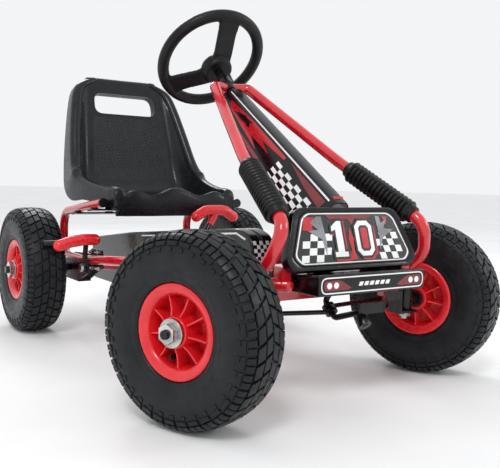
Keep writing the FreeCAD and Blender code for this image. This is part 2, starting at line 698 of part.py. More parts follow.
axle_bush_set = []
frame_bolt_set = []
for side_name, side in SIDES:
    inner_x = {1: 143.5, -1: -147.5}[side]
    outer_x = {1: 166.5, -1: -170.5}[side]
    base_x = {1: 143.5, -1: -170.5}[side]
    inner = plate_across_x("bracket_inner_" + side_name, INNER_PLATE, inner_x, 4)
    outer = plate_across_x("bracket_outer_" + side_name, OUTER_PLATE, outer_x, 4)
    floor = box("bracket_floor_" + side_name, ("27", "92", "4"), Vector(base_x, 262, 106))
    axle_hole = cylinder("bracket_axle_hole_" + side_name, "rear_axle_radius + 3", "60",
                         Vector(side * 157 - 30, AXLE.y, AXLE.z), X_AXIS)
    solid = fused("rear_bracket_weld_" + side_name, [inner, outer, floor])
    keep(cut("rear_bracket_drilled_" + side_name, solid, axle_hole), "rear_axle_bracket_" + side_name)
    for index, start in enumerate((inner_x, outer_x)):
        bush_outer = cylinder("axle_bush_outer_%s_%d" % (side_name, index), "rear_axle_radius + 3", "4",
                              Vector(start, AXLE.y, AXLE.z), X_AXIS)
        bush_inner = cylinder("axle_bush_inner_%s_%d" % (side_name, index), "rear_axle_radius + running_gap", "6",
                              Vector(start - 1, AXLE.y, AXLE.z), X_AXIS)
        axle_bush_set.append(cut("axle_bush_%s_%d" % (side_name, index), bush_outer, bush_inner))
    for index, (bolt_y, bolt_z) in enumerate(((238, 171), (206, 172), (238, 138), (206, 140))):
        plate_face = side * 147.5
        shank = cylinder("bracket_shank_%s_%d" % (side_name, index), "3", "10",
                         Vector(plate_face, bolt_y, bolt_z), Vector(side, 0, 0))
        head = hexagon("bracket_head_%s_%d" % (side_name, index), "10", "5",
                       Vector(plate_face, bolt_y, bolt_z), Vector(side, 0, 0))
        frame_bolt_set.append(fused("bracket_bolt_%s_%d" % (side_name, index), [shank, head]))
keep(group("bush_group", [head_bush_group, crank_bush_group] + axle_bush_set), "frame_bushes")

# ---- rear axle, sprockets and chain ----------------------------------------------------------

keep(cylinder("rear_axle_bar", "rear_axle_radius", "track + 104", Vector(-size("track / 2") - 52, AXLE.y, AXLE.z),
              X_AXIS), "rear_axle")


def pitch_radius(teeth):
    return size("chain_pitch") / (2 * math.sin(math.pi / teeth))


def make_sprocket(name, teeth, bore):
    """Toothed disc about the X axis, drawn tooth by tooth."""
    radius = pitch_radius(teeth)
    tip, valley = radius + 3.2, radius - 4.0
    corners = []
    for tooth in range(teeth):
        for share, reach in ((-0.36, valley), (-0.12, tip), (0.12, tip), (0.36, valley)):
            angle = 2 * math.pi * (tooth + share) / teeth
            corners.append(Vector(0, reach * math.cos(angle), reach * math.sin(angle)))
    disc = Part.Face(Part.makePolygon(corners + corners[:1])).extrude(Vector(3, 0, 0))
    boss = Part.makeCylinder(bore + 6, 14, Vector(-5.5, 0, 0), X_AXIS)
    hole = Part.makeCylinder(bore, 30, Vector(-15, 0, 0), X_AXIS)
    shape = disc.fuse(boss).cut(hole)
    shape.translate(Vector(-1.5, 0, 0))
    return free_form(name, shape)


rear_teeth, front_teeth = int(size("rear_teeth")), int(size("front_teeth"))
chain_at_axle = AXLE + Vector(size("chain_x"), 0, 0)
chain_at_crank = CRANK + Vector(size("chain_x"), 0, 0)
keep(make_sprocket("rear_sprocket_disc", rear_teeth, size("rear_axle_radius")), "rear_sprocket",
     Placement(chain_at_axle, Rotation()))
keep(make_sprocket("front_sprocket_disc", front_teeth, size("crank_radius")), "front_sprocket",
     Placement(chain_at_crank, Rotation()))


def chain_loop(extra, width):
    """Solid belt shape round both sprockets, at a distance outside their pitch circles."""
    span = chain_at_axle - chain_at_crank
    big, small = pitch_radius(front_teeth) + extra, pitch_radius(rear_teeth) + extra
    lean = math.asin((big - small) / span.Length)
    run_angle = math.atan2(span.z, span.y)
    corners = []
    for centre, radius, start, stop in (
            (chain_at_crank, big, math.pi / 2 - lean, 3 * math.pi / 2 + lean),
            (chain_at_axle, small, -math.pi / 2 + lean, math.pi / 2 - lean)):
        for step in range(25):
            angle = run_angle + start + (stop - start) * step / 24
            corners.append(centre + Vector(-width / 2, radius * math.cos(angle), radius * math.sin(angle)))
    return Part.Face(Part.makePolygon(corners + corners[:1])).extrude(Vector(width, 0, 0))


keep(free_form("chain_links", chain_loop(7.4, 7).cut(chain_loop(3.8, 9))), "drive_chain")

# ---- pedal crank and pedals -------------------------------------------------------------------

ARM_INNER = 78
crank_pieces = [cylinder("crank_spindle", "crank_radius", "%d" % (2 * ARM_INNER + 12), Vector(-ARM_INNER - 6, 0, 0), X_AXIS)]
for side_name, side in SIDES:
    arm_turn = {"left": size("crank_turn"), "right": size("crank_turn") + 180}[side_name]
    reach = Rotation(X_AXIS, -arm_turn).multVec(Vector(0, -size("crank_length"), 0))
    arm_x = {1: ARM_INNER, -1: -ARM_INNER - 6}[side]
    turn = Rotation(X_AXIS, 180 - arm_turn)
    crank_pieces.append(box("crank_bar_" + side_name, ("6", "crank_length", "18"),
                            Vector(arm_x, 0, 0) + turn.multVec(Vector(0, 0, -9)), turn))
    crank_pieces.append(cylinder("crank_boss_" + side_name, "12", "6", Vector(arm_x, 0, 0), X_AXIS))
    crank_pieces.append(cylinder("crank_eye_" + side_name, "9", "6", Vector(arm_x, 0, 0) + reach, X_AXIS))
    crank_pieces.append(cylinder("pedal_pin_" + side_name, "5", "57",
                                 Vector(side * ARM_INNER, 0, 0) + reach, Vector(side, 0, 0)))
    crank_pieces.append(cylinder("pedal_cap_" + side_name, "9", "2.5",
                                 Vector(side * (ARM_INNER + 56.3), 0, 0) + reach, Vector(side, 0, 0)))
    body = box("pedal_block_" + side_name, ("48", "62", "22"), Vector(-24, -31, -11))
    body_round = doc.addObject("Part::Fillet", "pedal_round_" + side_name)
    body_round.Base = body
    doc.recompute()
    long_edges = [n + 1 for n, e in enumerate(body.Shape.Edges) if abs(e.tangentAt(e.FirstParameter).x) > 0.9]
    body_round.Edges = [(n, 6, 6) for n in long_edges]
    bore = cylinder("pedal_bore_" + side_name, "5 + running_gap", "60", Vector(-30, 0, 0), X_AXIS)
    keep(cut("pedal_drilled_" + side_name, body_round, bore), "pedal_" + side_name,
         Placement(CRANK + reach + Vector(side * (ARM_INNER + 32), 0, 0), Rotation()))
keep(fused("crank_weld", crank_pieces), "pedal_crank", Placement(CRANK, Rotation()))

# ---- chain guard ---------------------------------------------------------------------------

GUARD_OUTLINE = [(438, 104), (438, 172), (424, 187), (224, 211), (-205, 247), (-240, 236), (-250, 205),
                 (-243, 168), (-215, 146), (-160, 138), (300, 90), (425, 90)]


def make_guard(name, seam_x, outward):
    """Half of the chain guard: a shallow tray whose open side meets the other half."""
    depth = size("guard_half")
    wall = size("guard_wall")
    corners = [Vector(seam_x, y, z) for y, z in GUARD_OUTLINE]
    wire = Part.makePolygon(corners + corners[:1])
    inner_wire = wire.makeOffset2D(-wall)
    tray = Part.Face(wire).extrude(Vector(outward * depth, 0, 0))
    hollow = Part.Face(inner_wire).extrude(Vector(outward * (depth - wall), 0, 0))
    shape = tray.cut(hollow)
    for centre, radius in ((CRANK, size("crank_radius") + 3), (AXLE, size("rear_axle_radius") + 3),
                           (Vector(0, CROSS_Y, 134), TUBE_R)):
        shape = shape.cut(Part.makeCylinder(radius, 200, Vector(-150, centre.y, centre.z), X_AXIS))
    return free_form(name, shape)


keep(make_guard("guard_tray_outer", size("chain_x"), -1), "chain_guard_outer")
keep(make_guard("guard_tray_inner", size("chain_x"), 1), "chain_guard_inner")

# ---- fairing, number panel, bumper -----------------------------------------------------------

FAIRING_TOP = Vector(0, -74, 488.9)
FAIRING_FOOT = Vector(0, -370, 293.6)


def fairing_section(start, nose, flare, depth, inset):
    along = (FAIRING_FOOT - FAIRING_TOP).normalize()
    normal = along.cross(X_AXIS)
    corners = [
        start - X_AXIS * (flare - inset) - normal * (depth + inset),
        start - X_AXIS * (nose - inset) - normal * inset,
        start + X_AXIS * (nose - inset) - normal * inset,
        start + X_AXIS * (flare - inset) - normal * (depth + inset),
    ]
    return Part.makePolygon(corners + corners[:1])


def fairing_block(inset):
    upper_end = fairing_section(FAIRING_TOP, 12, 24, 38, inset)
    lower_end = fairing_section(FAIRING_FOOT, 12, 60, 68, inset)
    return Part.makeLoft([upper_end, lower_end], True, True)


fairing_shell = fairing_block(0).cut(fairing_block(2.2))
keep(free_form("fairing_shell", fairing_shell), "column_fairing")

PANEL_FOOT = Vector(0, -408, 201)
PANEL_LEAN = 72.8
panel_place = Placement(PANEL_FOOT, Rotation(X_AXIS, PANEL_LEAN))


def panel_corners(inset):
    return [
        ("%g" % (-110 + inset), "%g" % inset), ("%g" % (110 - inset), "%g" % inset),
        ("%g" % (124 - inset), "%g" % (12 + inset)), ("%g" % (101 - inset), "%g" % (80 - inset)),
        ("%g" % (88 - inset), "%g" % (91 - inset)), ("%g" % (-88 + inset), "%g" % (91 - inset)),
        ("%g" % (-101 + inset), "%g" % (80 - inset)), ("%g" % (-124 + inset), "%g" % (12 + inset)),
    ]


panel_block = extruded("panel_block", panel_corners(0), "14")
panel_hollow = extruded("panel_hollow", panel_corners(3), "11")
keep(cut("panel_tray", panel_block, panel_hollow), "number_panel",
     panel_place.multiply(Placement(Vector(0, 0, -14), Rotation())))
keep(extruded("number_sheet", panel_corners(10), "0.8"), "number_plate", panel_place)



def bumper_corners(inset, back):
    """Side outline of the bumper as (z, -y) pairs, for an extrusion turned to run along X."""
    return [
        ("%g" % (171 + inset), "%g" % (444 - inset)),
        ("%g" % (201 - inset), "%g" % (444 - inset)),
        ("%g" % (196.5 - inset), "%g" % (411 - inset)),
        ("%g" % (196.5 - inset), "%g" % back),
        ("%g" % (171 + inset), "%g" % back),
    ]


# Turns sketch x to the kart's Z, sketch y to -Y and the sketch normal to X.
SIDE_ON = Rotation(Z_AXIS, Vector(0, -1, 0), X_AXIS, "XYZ")
bumper_block = extruded("bumper_block", bumper_corners(0, 372), "200")
bumper_block.Placement = Placement(Vector(-100, 0, 0), SIDE_ON)
bumper_hollow = extruded("bumper_hollow", bumper_corners(3, 366), "194")
bumper_hollow.Placement = Placement(Vector(-97, 0, 0), SIDE_ON)
keep(cut("bumper_tray", bumper_block, bumper_hollow), "bumper")

front_plate = box("front_plate", ("244", "33.5", "3"), Vector(-122, -391.5, 204))
front_nose = box("front_nose", ("200", "12", "3"), Vector(-100, -401, 204))
fairing_tab = box("fairing_tab", ("18", "3", "98"), Vector(-9, -362, 205))
flange = box("front_flange", ("150", "38", "3"), Vector(-75, 3.2, -6))
flange.Placement = panel_place.multiply(flange.Placement)
front_parts = [front_plate, front_nose, flange, fairing_tab]
rail_solids = []
for side_name, side in SIDES:
    front_parts.append(box("front_leg_" + side_name, ("16", "18.5", "24"), Vector(side * 114 - 8, -391.5, 181)))
    front_parts.append(box("front_ear_" + side_name, ("30", "14", "8"), Vector(side * 50 - 15, -388, 196.5)))
    rail_solids.append(bar_along(rail_path(side), TUBE_R).fuse(
        Part.makeSphere(TUBE_R, Vector(side * 111, -389, size("rail_front_z")))))
rails_together = free_form("rails_together", rail_solids[0].fuse(rail_solids[1]))
front_weld = cut("front_bracket_cope", fused("front_bracket_weld", front_parts), rails_together)
keep(cut("front_bracket_top", front_weld, free_form("fairing_solid", fairing_block(0))), "front_bracket")

# ---- seat -------------------------------------------------------------------------------------

# Stations along the seat: middle of the inner surface (y, z), half width at the bottom,
# half width at the lip, height of the lip, length of the outer skirt that hangs from the lip.
SEAT_STATIONS = [
    (150, 284, 112, 120, 14, 42),
    (200, 279, 116, 128, 26, 34),
    (270, 276, 118, 138, 40, 36),
    (325, 281, 118, 145, 52, 60),
    (362, 303, 117, 148, 56, 85),
    (385, 345, 114, 142, 46, 64),
    (402, 415, 108, 130, 30, 45),
    (420, 485, 100, 116, 18, 36),
    (432, 528, 90, 106, 12, 30),
    (439, 556, 70, 84, 6, 22),
]
SEAT_RIM = 16


def seat_section(index):
    """Pan between two sides that lean out to a flat rim, with a skirt on the outside of each rim."""
    y, z, low_half, lip_half, lip, skirt = SEAT_STATIONS[index]
    before = SEAT_STATIONS[max(index - 1, 0)]
    after = SEAT_STATIONS[min(index + 1, len(SEAT_STATIONS) - 1)]
    along = Vector(0, after[0] - before[0], after[1] - before[1]).normalize()
    inward = X_AXIS.cross(along)
    wall = size("seat_wall")
    half = [
        (low_half + wall, -wall),
        (lip_half + wall, lip - wall),
        (lip_half + SEAT_RIM - wall, lip - wall),
        (lip_half + SEAT_RIM - wall, lip - skirt),
        (lip_half + SEAT_RIM, lip - skirt),
        (lip_half + SEAT_RIM, lip),
        (lip_half, lip),
        (low_half, 0),
    ]
    mirrored = [(-x, height) for x, height in reversed(half)]
    corners = [Vector(0, y, z) + X_AXIS * x + inward * height for x, height in half + mirrored]
    return Part.makePolygon(corners + corners[:1])


seat_loft = Part.makeLoft([seat_section(index) for index in range(len(SEAT_STATIONS))], True, True)
seat_front = Part.makeBox(264, 5, 34, Vector(-132, 146, 250))
slot = Part.makeBox(150, 60, 51, Vector(-75, 395, 474))
seat_shape = seat_loft.fuse(seat_front).cut(slot)
keep(free_form("seat_moulding", seat_shape), "seat_shell")


def seat_tube_z(y):
    return size("seat_end_z") - SEAT_FALL * (y - size("seat_end_y"))


strap_tilt = Rotation(X_AXIS, -math.degrees(math.atan(SEAT_FALL)))
seat_support_set = []
seat_solid = free_form("seat_solid", seat_shape)
for index, strap_y in enumerate((205, 300)):
    strap_top = seat_tube_z(strap_y) - TUBE_R * math.sqrt(1 + SEAT_FALL ** 2)
    corner = Vector(-168, strap_y, strap_top) + strap_tilt.multVec(Vector(0, -15, -3.5))
    strap = box("seat_strap_%d" % index, ("336", "30", "3.5"), corner, strap_tilt)
    spacers = [cylinder("seat_spacer_%s_%d" % (side_name, index), "9", "%g" % (277 - strap_top),
                        Vector(side * 88, strap_y, strap_top - 2)) for side_name, side in SIDES]
    seat_support_set.append(cut("seat_support_%d" % index, fused("seat_support_weld_%d" % index, [strap] + spacers),
                                seat_solid))
keep(group("seat_support_group", seat_support_set), "seat_brackets")

# ---- levers -----------------------------------------------------------------------------------

BRAKE_PIVOT = Vector(-170.8, 222, 140)
BRAKE_ROD = Vector(-170.8, 211.5, 193.5)
arm_run = BRAKE_ROD - BRAKE_PIVOT
arm_turn = Rotation(Y_AXIS, arm_run)
brake_bar = box("brake_bar", ("5", "%g" % arm_run.Length, "16"),
                BRAKE_PIVOT + arm_turn.multVec(Vector(0, 0, -8)) + Vector(-5, 0, 0), arm_turn)
brake_pieces = [
    brake_bar,
    cylinder("brake_boss", "10", "5", BRAKE_PIVOT + Vector(-5, 0, 0), X_AXIS),
    cylinder("brake_top", "8", "5", BRAKE_ROD + Vector(-5, 0, 0), X_AXIS),
    cylinder("brake_shoe_rod", "5.5", "90", BRAKE_ROD, Vector(-1, 0, 0)),
    cylinder("brake_spigot", "4", "14", Vector(-200, BRAKE_ROD.y, BRAKE_ROD.z + 1), Vector(0, -1, 0.2)),
]
brake_hole = cylinder("brake_hole", "5 + running_gap", "20", BRAKE_PIVOT + Vector(-15, 0, 0), X_AXIS)
keep(cut("brake_drilled", fused("brake_weld", brake_pieces), brake_hole), "brake_lever")
pivot_shank = cylinder("pivot_shank", "5", "8", Vector(-170.5, BRAKE_PIVOT.y, BRAKE_PIVOT.z), Vector(-1, 0, 0))
pivot_head = hexagon("pivot_head", "15", "6", Vector(-176.1, BRAKE_PIVOT.y, BRAKE_PIVOT.z), Vector(-1, 0, 0))
frame_bolt_set.append(fused("brake_pivot_bolt", [pivot_shank, pivot_head]))

grip_line = Vector(90, 0, 13)
brake_grip_bar = cylinder("brake_grip_bar", "11.5", "91", Vector(-245, 191, 191.5), grip_line)
brake_grip_stem = cylinder("brake_grip_stem", "7", "13.5", Vector(-200, 191, 199), Vector(0, 1, -0.2))
brake_grip_bore = cylinder("brake_grip_bore", "4", "20", Vector(-200, BRAKE_ROD.y, BRAKE_ROD.z + 1), Vector(0, -1, 0.2))
keep(cut("brake_grip_cut", fused("brake_grip_weld", [brake_grip_bar, brake_grip_stem]),
         brake_grip_bore), "brake_grip")

LEVER_PIVOT = Vector(30.5, 110, 163)
lever_top = Vector(67, 110, 250)
lever_bar = bar_along(rounded_path([
    Vector(39, 110, 163), Vector(40, 110, 200), lever_top], [30]), 5)
lever_pieces = [
    free_form("lever_bar", lever_bar),
    cylinder("lever_boss", "10", "13", LEVER_PIVOT, X_AXIS),
]
lever_hole = cylinder("lever_hole", "5 + running_gap", "30", LEVER_PIVOT + Vector(-5, 0, 0), X_AXIS)
keep(cut("lever_drilled", fused("lever_weld", lever_pieces), lever_hole), "drive_lever")
lever_shank = cylinder("lever_shank", "5", "15", Vector(30, 110, 163), X_AXIS)
lever_head = hexagon("lever_head", "15", "5", Vector(44.5, 110, 163), X_AXIS)
frame_bolt_set.append(fused("lever_pivot_bolt", [lever_shank, lever_head]))
keep(group("frame_bolt_group", frame_bolt_set), "frame_bolts")

lever_grip = bar_along(rounded_path([
    Vector(20, 110, 246), Vector(48, 110, 262), Vector(92, 110, 262), Vector(120, 110, 244)], [38, 38]), 11)
lever_direction = (lever_top - Vector(40, 110, 200)).normalize()
lever_stem = Part.makeCylinder(8, 26, lever_top - lever_direction * 14, lever_direction)
lever_bore = Part.makeCylinder(5, 30, lever_top - lever_direction * 30, lever_direction)
grip_shape = lever_grip.fuse(lever_stem).cut(lever_bore)
keep(free_form("lever_grip", grip_shape), "drive_lever_grip")

# ---- check and write --------------------------------------------------------------------------

doc.recompute()
for thing in doc.Objects:
    if "Invalid" in thing.State or "Error" in thing.State:
        raise RuntimeError("%s did not build: %s" % (thing.Name, thing.State))
for thing in parts:
    if thing.Shape.isNull() or not thing.Shape.isValid():
        raise RuntimeError("%s has no valid shape" % thing.Label)

os.makedirs("parts", exist_ok=True)
for thing in parts:
    thing.Shape.exportStep("parts/%s.step" % thing.Label)
print(len(parts), "sub-parts written")
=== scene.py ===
import math

import bmesh
import bpy
from mathutils import Matrix, Vector


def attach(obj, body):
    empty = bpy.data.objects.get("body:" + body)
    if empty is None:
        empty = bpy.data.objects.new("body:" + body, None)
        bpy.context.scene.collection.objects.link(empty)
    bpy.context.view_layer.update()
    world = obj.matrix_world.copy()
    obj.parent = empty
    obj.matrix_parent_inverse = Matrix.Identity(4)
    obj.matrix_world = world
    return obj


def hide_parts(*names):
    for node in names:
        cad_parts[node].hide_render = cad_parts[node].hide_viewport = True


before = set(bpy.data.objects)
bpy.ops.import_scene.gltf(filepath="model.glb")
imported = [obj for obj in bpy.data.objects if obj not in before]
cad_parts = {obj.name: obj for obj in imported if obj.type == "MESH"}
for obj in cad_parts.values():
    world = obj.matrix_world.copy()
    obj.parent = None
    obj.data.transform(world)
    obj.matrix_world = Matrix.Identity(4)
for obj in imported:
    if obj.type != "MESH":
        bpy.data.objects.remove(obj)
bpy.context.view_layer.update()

# Sizes are in millimetres from the middle of the wheelbase, and place() turns them into the frame's metres.
CENTRE_Y = 14.7
AXLE_Z = 129.4
STEER_REST = math.radians(21)
TUBE_RADIUS = 9.5
COLUMN_TILT = math.radians(-45.9)
RING_CENTRE = (0, 16.7, 553.1)
CRANK = (0, -190, 196)
X_AXIS, Y_AXIS, Z_AXIS = Vector((1, 0, 0)), Vector((0, 1, 0)), Vector((0, 0, 1))
SIDES = (("left", 1), ("right", -1))


def place(x, y, z):
    return Vector((x, y + CENTRE_Y, z)) / 1000


def place_matrix(centre, turn=Matrix.Identity(4)):
    """From millimetres in a piece's own axes to the frame."""
    return Matrix.Translation(place(*centre)) @ turn @ Matrix.Scale(0.001, 4)


KART = Matrix.Translation(place(0, 0, 0)) @ Matrix.Scale(0.001, 4)
COLUMN = place_matrix(RING_CENTRE, Matrix.Rotation(COLUMN_TILT, 4, "X"))


# ---- materials -----------------------------------------------------------------------------

def new_material(name, roughness, metallic=0.0, coat=0.0, specular=0.5):
    material = bpy.data.materials.new(name)
    material.use_nodes = True
    shader = material.node_tree.nodes["Principled BSDF"]
    shader.inputs["Roughness"].default_value = roughness
    shader.inputs["Metallic"].default_value = metallic
    shader.inputs["Coat Weight"].default_value = coat
    shader.inputs["Coat Roughness"].default_value = 0.08
    shader.inputs["Specular IOR Level"].default_value = specular
    return material, material.node_tree, shader


def node(tree, kind, **settings):
    made = tree.nodes.new(kind)
    for key, value in settings.items():
        if key in made.inputs:
            made.inputs[key].default_value = value
        else:
            setattr(made, key, value)
    return made


def noise(tree, scale, detail=4.0, low=0.4, high=0.6):
    """A 0 to 1 mottling that follows the object's own coordinates."""
    coords = node(tree, "ShaderNodeTexCoord")
    texture = node(tree, "ShaderNodeTexNoise", Scale=scale, Detail=detail)
    spread = node(tree, "ShaderNodeMapRange")
    spread.inputs["From Min"].default_value = low
    spread.inputs["From Max"].default_value = high
    tree.links.new(coords.outputs["Object"], texture.inputs["Vector"])
    tree.links.new(texture.outputs["Fac"], spread.inputs["Value"])
    return spread.outputs["Result"]


def tint(tree, shader, factor, first, second):
    mix = node(tree, "ShaderNodeMix", data_type="RGBA")
    mix.inputs[6].default_value = (*first, 1)
    mix.inputs[7].default_value = (*second, 1)
    tree.links.new(factor, mix.inputs[0])
    tree.links.new(mix.outputs[2], shader.inputs["Base Color"])


def vary_roughness(tree, shader, factor, low, high):
    spread = node(tree, "ShaderNodeMapRange")
    spread.inputs["To Min"].default_value = low
    spread.inputs["To Max"].default_value = high
    tree.links.new(factor, spread.inputs["Value"])
    tree.links.new(spread.outputs["Result"], shader.inputs["Roughness"])


def bump(tree, shader, height, strength, distance):
    bumper = node(tree, "ShaderNodeBump", Strength=strength, Distance=distance)
    tree.links.new(height, bumper.inputs["Height"])
    tree.links.new(bumper.outputs["Normal"], shader.inputs["Normal"])


def painted(name, dark, light, low=0.18, high=0.3, coat=0.6, grain=0.0, grain_scale=1500, metallic=0.0, specular=0.5):
    """Paint or moulded plastic: two near colours mottled together and a slightly uneven gloss."""
    material, tree, shader = new_material(name, low, metallic, coat, specular)
    mottle = noise(tree, 35)
    tint(tree, shader, mottle, dark, light)
    vary_roughness(tree, shader, noise(tree, 120), low, high)
    if grain:
        bump(tree, shader, noise(tree, grain_scale, 2.0, 0.3, 0.7), grain, 0.0004)
    return material


RED_PAINT = painted("red_paint", (0.56, 0.004, 0.012), (0.64, 0.007, 0.018), 0.16, 0.26, coat=0.8, grain=0.08, grain_scale=400)
RED_PLASTIC = painted("red_plastic", (0.66, 0.008, 0.014), (0.74, 0.014, 0.022), 0.24, 0.34, coat=0.35, grain=0.06, grain_scale=500)
BLACK_PAINT = painted("black_paint", (0.003, 0.003, 0.004), (0.006, 0.006, 0.007), 0.22, 0.34, 0.15, 0.1, 700, specular=0.3)
BLACK_GLOSS = painted("black_gloss", (0.002, 0.002, 0.003), (0.004, 0.004, 0.005), 0.14, 0.24, 0.2, 0.04, specular=0.3)
SEAT_BLACK = painted("seat_black", (0.003, 0.004, 0.006), (0.006, 0.007, 0.010), 0.24, 0.34, 0.08, 0.1, specular=0.32)
BLACK_MATTE = painted("black_matte", (0.003, 0.003, 0.004), (0.006, 0.006, 0.007), 0.32, 0.46, 0.0, 0.2, 900, specular=0.28)
BLACK_RUBBER = painted("black_rubber", (0.002, 0.002, 0.002), (0.005, 0.005, 0.006), 0.28, 0.4, 0.0, 0.1, specular=0.3)
TYRE_RUBBER = painted("tyre_rubber", (0.004, 0.005, 0.006), (0.009, 0.010, 0.013), 0.36, 0.5, 0.0, 0.25, 700, specular=0.3)
ZINC = painted("zinc_plate", (0.42, 0.43, 0.42), (0.66, 0.66, 0.62), 0.22, 0.42, coat=0.0, grain=0.1, grain_scale=900, metallic=1.0)
STEEL = painted("dark_steel", (0.09, 0.09, 0.095), (0.17, 0.17, 0.17), 0.3, 0.5, coat=0.0, grain=0.1, grain_scale=900, metallic=1.0)
PRINT_WHITE = painted("print_white", (0.78, 0.78, 0.78), (0.86, 0.86, 0.86), 0.22, 0.3, coat=0.5)
PRINT_RED = painted("print_red", (0.42, 0.004, 0.012), (0.5, 0.006, 0.016), 0.22, 0.3, coat=0.5)
PRINT_DARK_RED = painted("print_dark_red", (0.16, 0.003, 0.008), (0.22, 0.004, 0.01), 0.22, 0.3, coat=0.5)
PRINT_GREY = painted("print_grey", (0.16, 0.17, 0.18), (0.24, 0.25, 0.27), 0.22, 0.3, coat=0.5)
PRINT_BLACK = painted("print_black", (0.004, 0.004, 0.005), (0.008, 0.008, 0.009), 0.2, 0.28, coat=0.5)


def woven_material():
    """Seat plastic with a fine diamond emboss, from two crossed wave bands."""
    material, tree, shader = new_material("seat_diamonds", 0.3, specular=0.4)
    tint(tree, shader, noise(tree, 60), (0.003, 0.004, 0.006), (0.007, 0.008, 0.011))
    coords = node(tree, "ShaderNodeTexCoord")
    bands = []
    for angle in (45, -45):
        turn = node(tree, "ShaderNodeMapping")
        turn.inputs["Rotation"].default_value = (0, math.radians(angle), 0)
        band = node(tree, "ShaderNodeTexWave", Scale=62.0)
        band.bands_direction = "X"
        tree.links.new(coords.outputs["Object"], turn.inputs["Vector"])
        tree.links.new(turn.outputs["Vector"], band.inputs["Vector"])
        bands.append(band)
    lower = node(tree, "ShaderNodeMath", operation="MULTIPLY")
    tree.links.new(bands[0].outputs["Fac"], lower.inputs[0])
    tree.links.new(bands[1].outputs["Fac"], lower.inputs[1])
    bump(tree, shader, lower.outputs[0], 0.9, 0.0012)
    return material


SEAT_DIAMONDS = woven_material()


# ---- mesh helpers --------------------------------------------------------------------------

def finish_piece(piece, body, nodes=(), smooth_angle=40):
    """Smooth shading with hard edges kept, then the piece rides on its body and hides its nodes."""
    if piece.type == "MESH":
        for face in piece.data.polygons:
            face.use_smooth = True
        piece.data.set_sharp_from_angle(angle=math.radians(smooth_angle))
    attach(piece, body)
    if nodes:
        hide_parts(*nodes)
    return piece


def mesh_piece(name, verts, faces, material, matrix=KART):
    """verts are in millimetres and matrix takes them to the frame."""
    mesh = bpy.data.meshes.new(name)
    mesh.from_pydata([matrix @ Vector(v) for v in verts], [], faces)
    mesh.materials.append(material)
    build = bmesh.new()
    build.from_mesh(mesh)
    bmesh.ops.recalc_face_normals(build, faces=build.faces)
    build.to_mesh(mesh)
    build.free()
    piece = bpy.data.objects.new(name, mesh)
    bpy.context.scene.collection.objects.link(piece)
    return piece


def add_bevel(piece, width, segments=3, angle=30):
    bevel = piece.modifiers.new("bevel", "BEVEL")
    bevel.width = width / 1000
    bevel.segments = segments
    bevel.limit_method = "ANGLE"
    bevel.angle_limit = math.radians(angle)
    bevel.harden_normals = True
    return piece


def add_subdivision(piece, levels=2):
    smooth = piece.modifiers.new("subdivision", "SUBSURF")
    smooth.levels = levels
    smooth.render_levels = levels
    return piece


def lathe(profile, steps=96, closed=True):
    """Verts and faces of a profile of (x, r) pairs turned about the local X axis."""
    verts = []
    for step in range(steps):
        angle = 2 * math.pi * step / steps
        verts += [(x, -r * math.sin(angle), r * math.cos(angle)) for x, r in profile]
    count = len(profile)
    faces = []
    for step in range(steps):
        here, there = step * count, (step + 1) % steps * count
        for index in range(count if closed else count - 1):
            after = (index + 1) % count
            faces.append((here + index, here + after, there + after, there + index))
    return verts, faces


def join(parts):
    """One list of verts and faces from several."""
    verts, faces = [], []
    for part_verts, part_faces in parts:
        base = len(verts)
        verts += part_verts
        faces += [tuple(base + index for index in face) for face in part_faces]
    return verts, faces


def moved(part, matrix):
    return [matrix @ Vector(v) for v in part[0]], part[1]


def block(x, y, z):
    """A box between pairs of limits."""
    verts = [(a, b, c) for a in x for b in y for c in z]
    faces = [(0, 1, 3, 2), (4, 6, 7, 5), (0, 4, 5, 1), (2, 3, 7, 6), (0, 2, 6, 4), (1, 5, 7, 3)]
    return verts, faces


def prism(outline, low, high):
    """An outline of (x, y) pairs between two heights."""
    count = len(outline)
    verts = [(x, y, low) for x, y in outline] + [(x, y, high) for x, y in outline]
    faces = [tuple(range(count)), tuple(range(count, 2 * count))]
    faces += [(i, (i + 1) % count, count + (i + 1) % count, count + i) for i in range(count)]
    return verts, faces


def rounded(outline, radius, steps=6):
    """The outline of (x, y) pairs with each corner turned into an arc."""
    points = []
    count = len(outline)
    for index, corner in enumerate(outline):
        corner = Vector(corner)
        back = (Vector(outline[index - 1]) - corner)
        ahead = (Vector(outline[(index + 1) % count]) - corner)
        reach = min(radius, back.length * 0.45, ahead.length * 0.45)
        start, end = corner + back.normalized() * reach, corner + ahead.normalized() * reach
        for step in range(steps + 1):
            share = step / steps
            points.append(tuple((1 - share) ** 2 * start + 2 * share * (1 - share) * corner + share ** 2 * end))
    return points


def bend_path(corners, radii, spacing=5.0):
    """Straight runs joined by tangent arcs."""
    points = [Vector(corners[0])]
    for index, radius in enumerate(radii):
        corner = Vector(corners[index + 1])
        back = (Vector(corners[index]) - corner).normalized()
        ahead = (Vector(corners[index + 2]) - corner).normalized()
        half_turn = (math.pi - back.angle(ahead)) / 2
        enter = corner + back * radius * math.tan(half_turn)
        centre = corner + (back + ahead).normalized() * radius / math.cos(half_turn)
        axis = back.cross(ahead).normalized()
        arm = enter - centre
        steps = max(2, int(math.degrees(2 * half_turn) / spacing))
        for step in range(steps + 1):
            turn = Matrix.Rotation(-2 * half_turn * step / steps, 3, axis)
            points.append(centre + turn @ arm)
    points.append(Vector(corners[-1]))
    return points


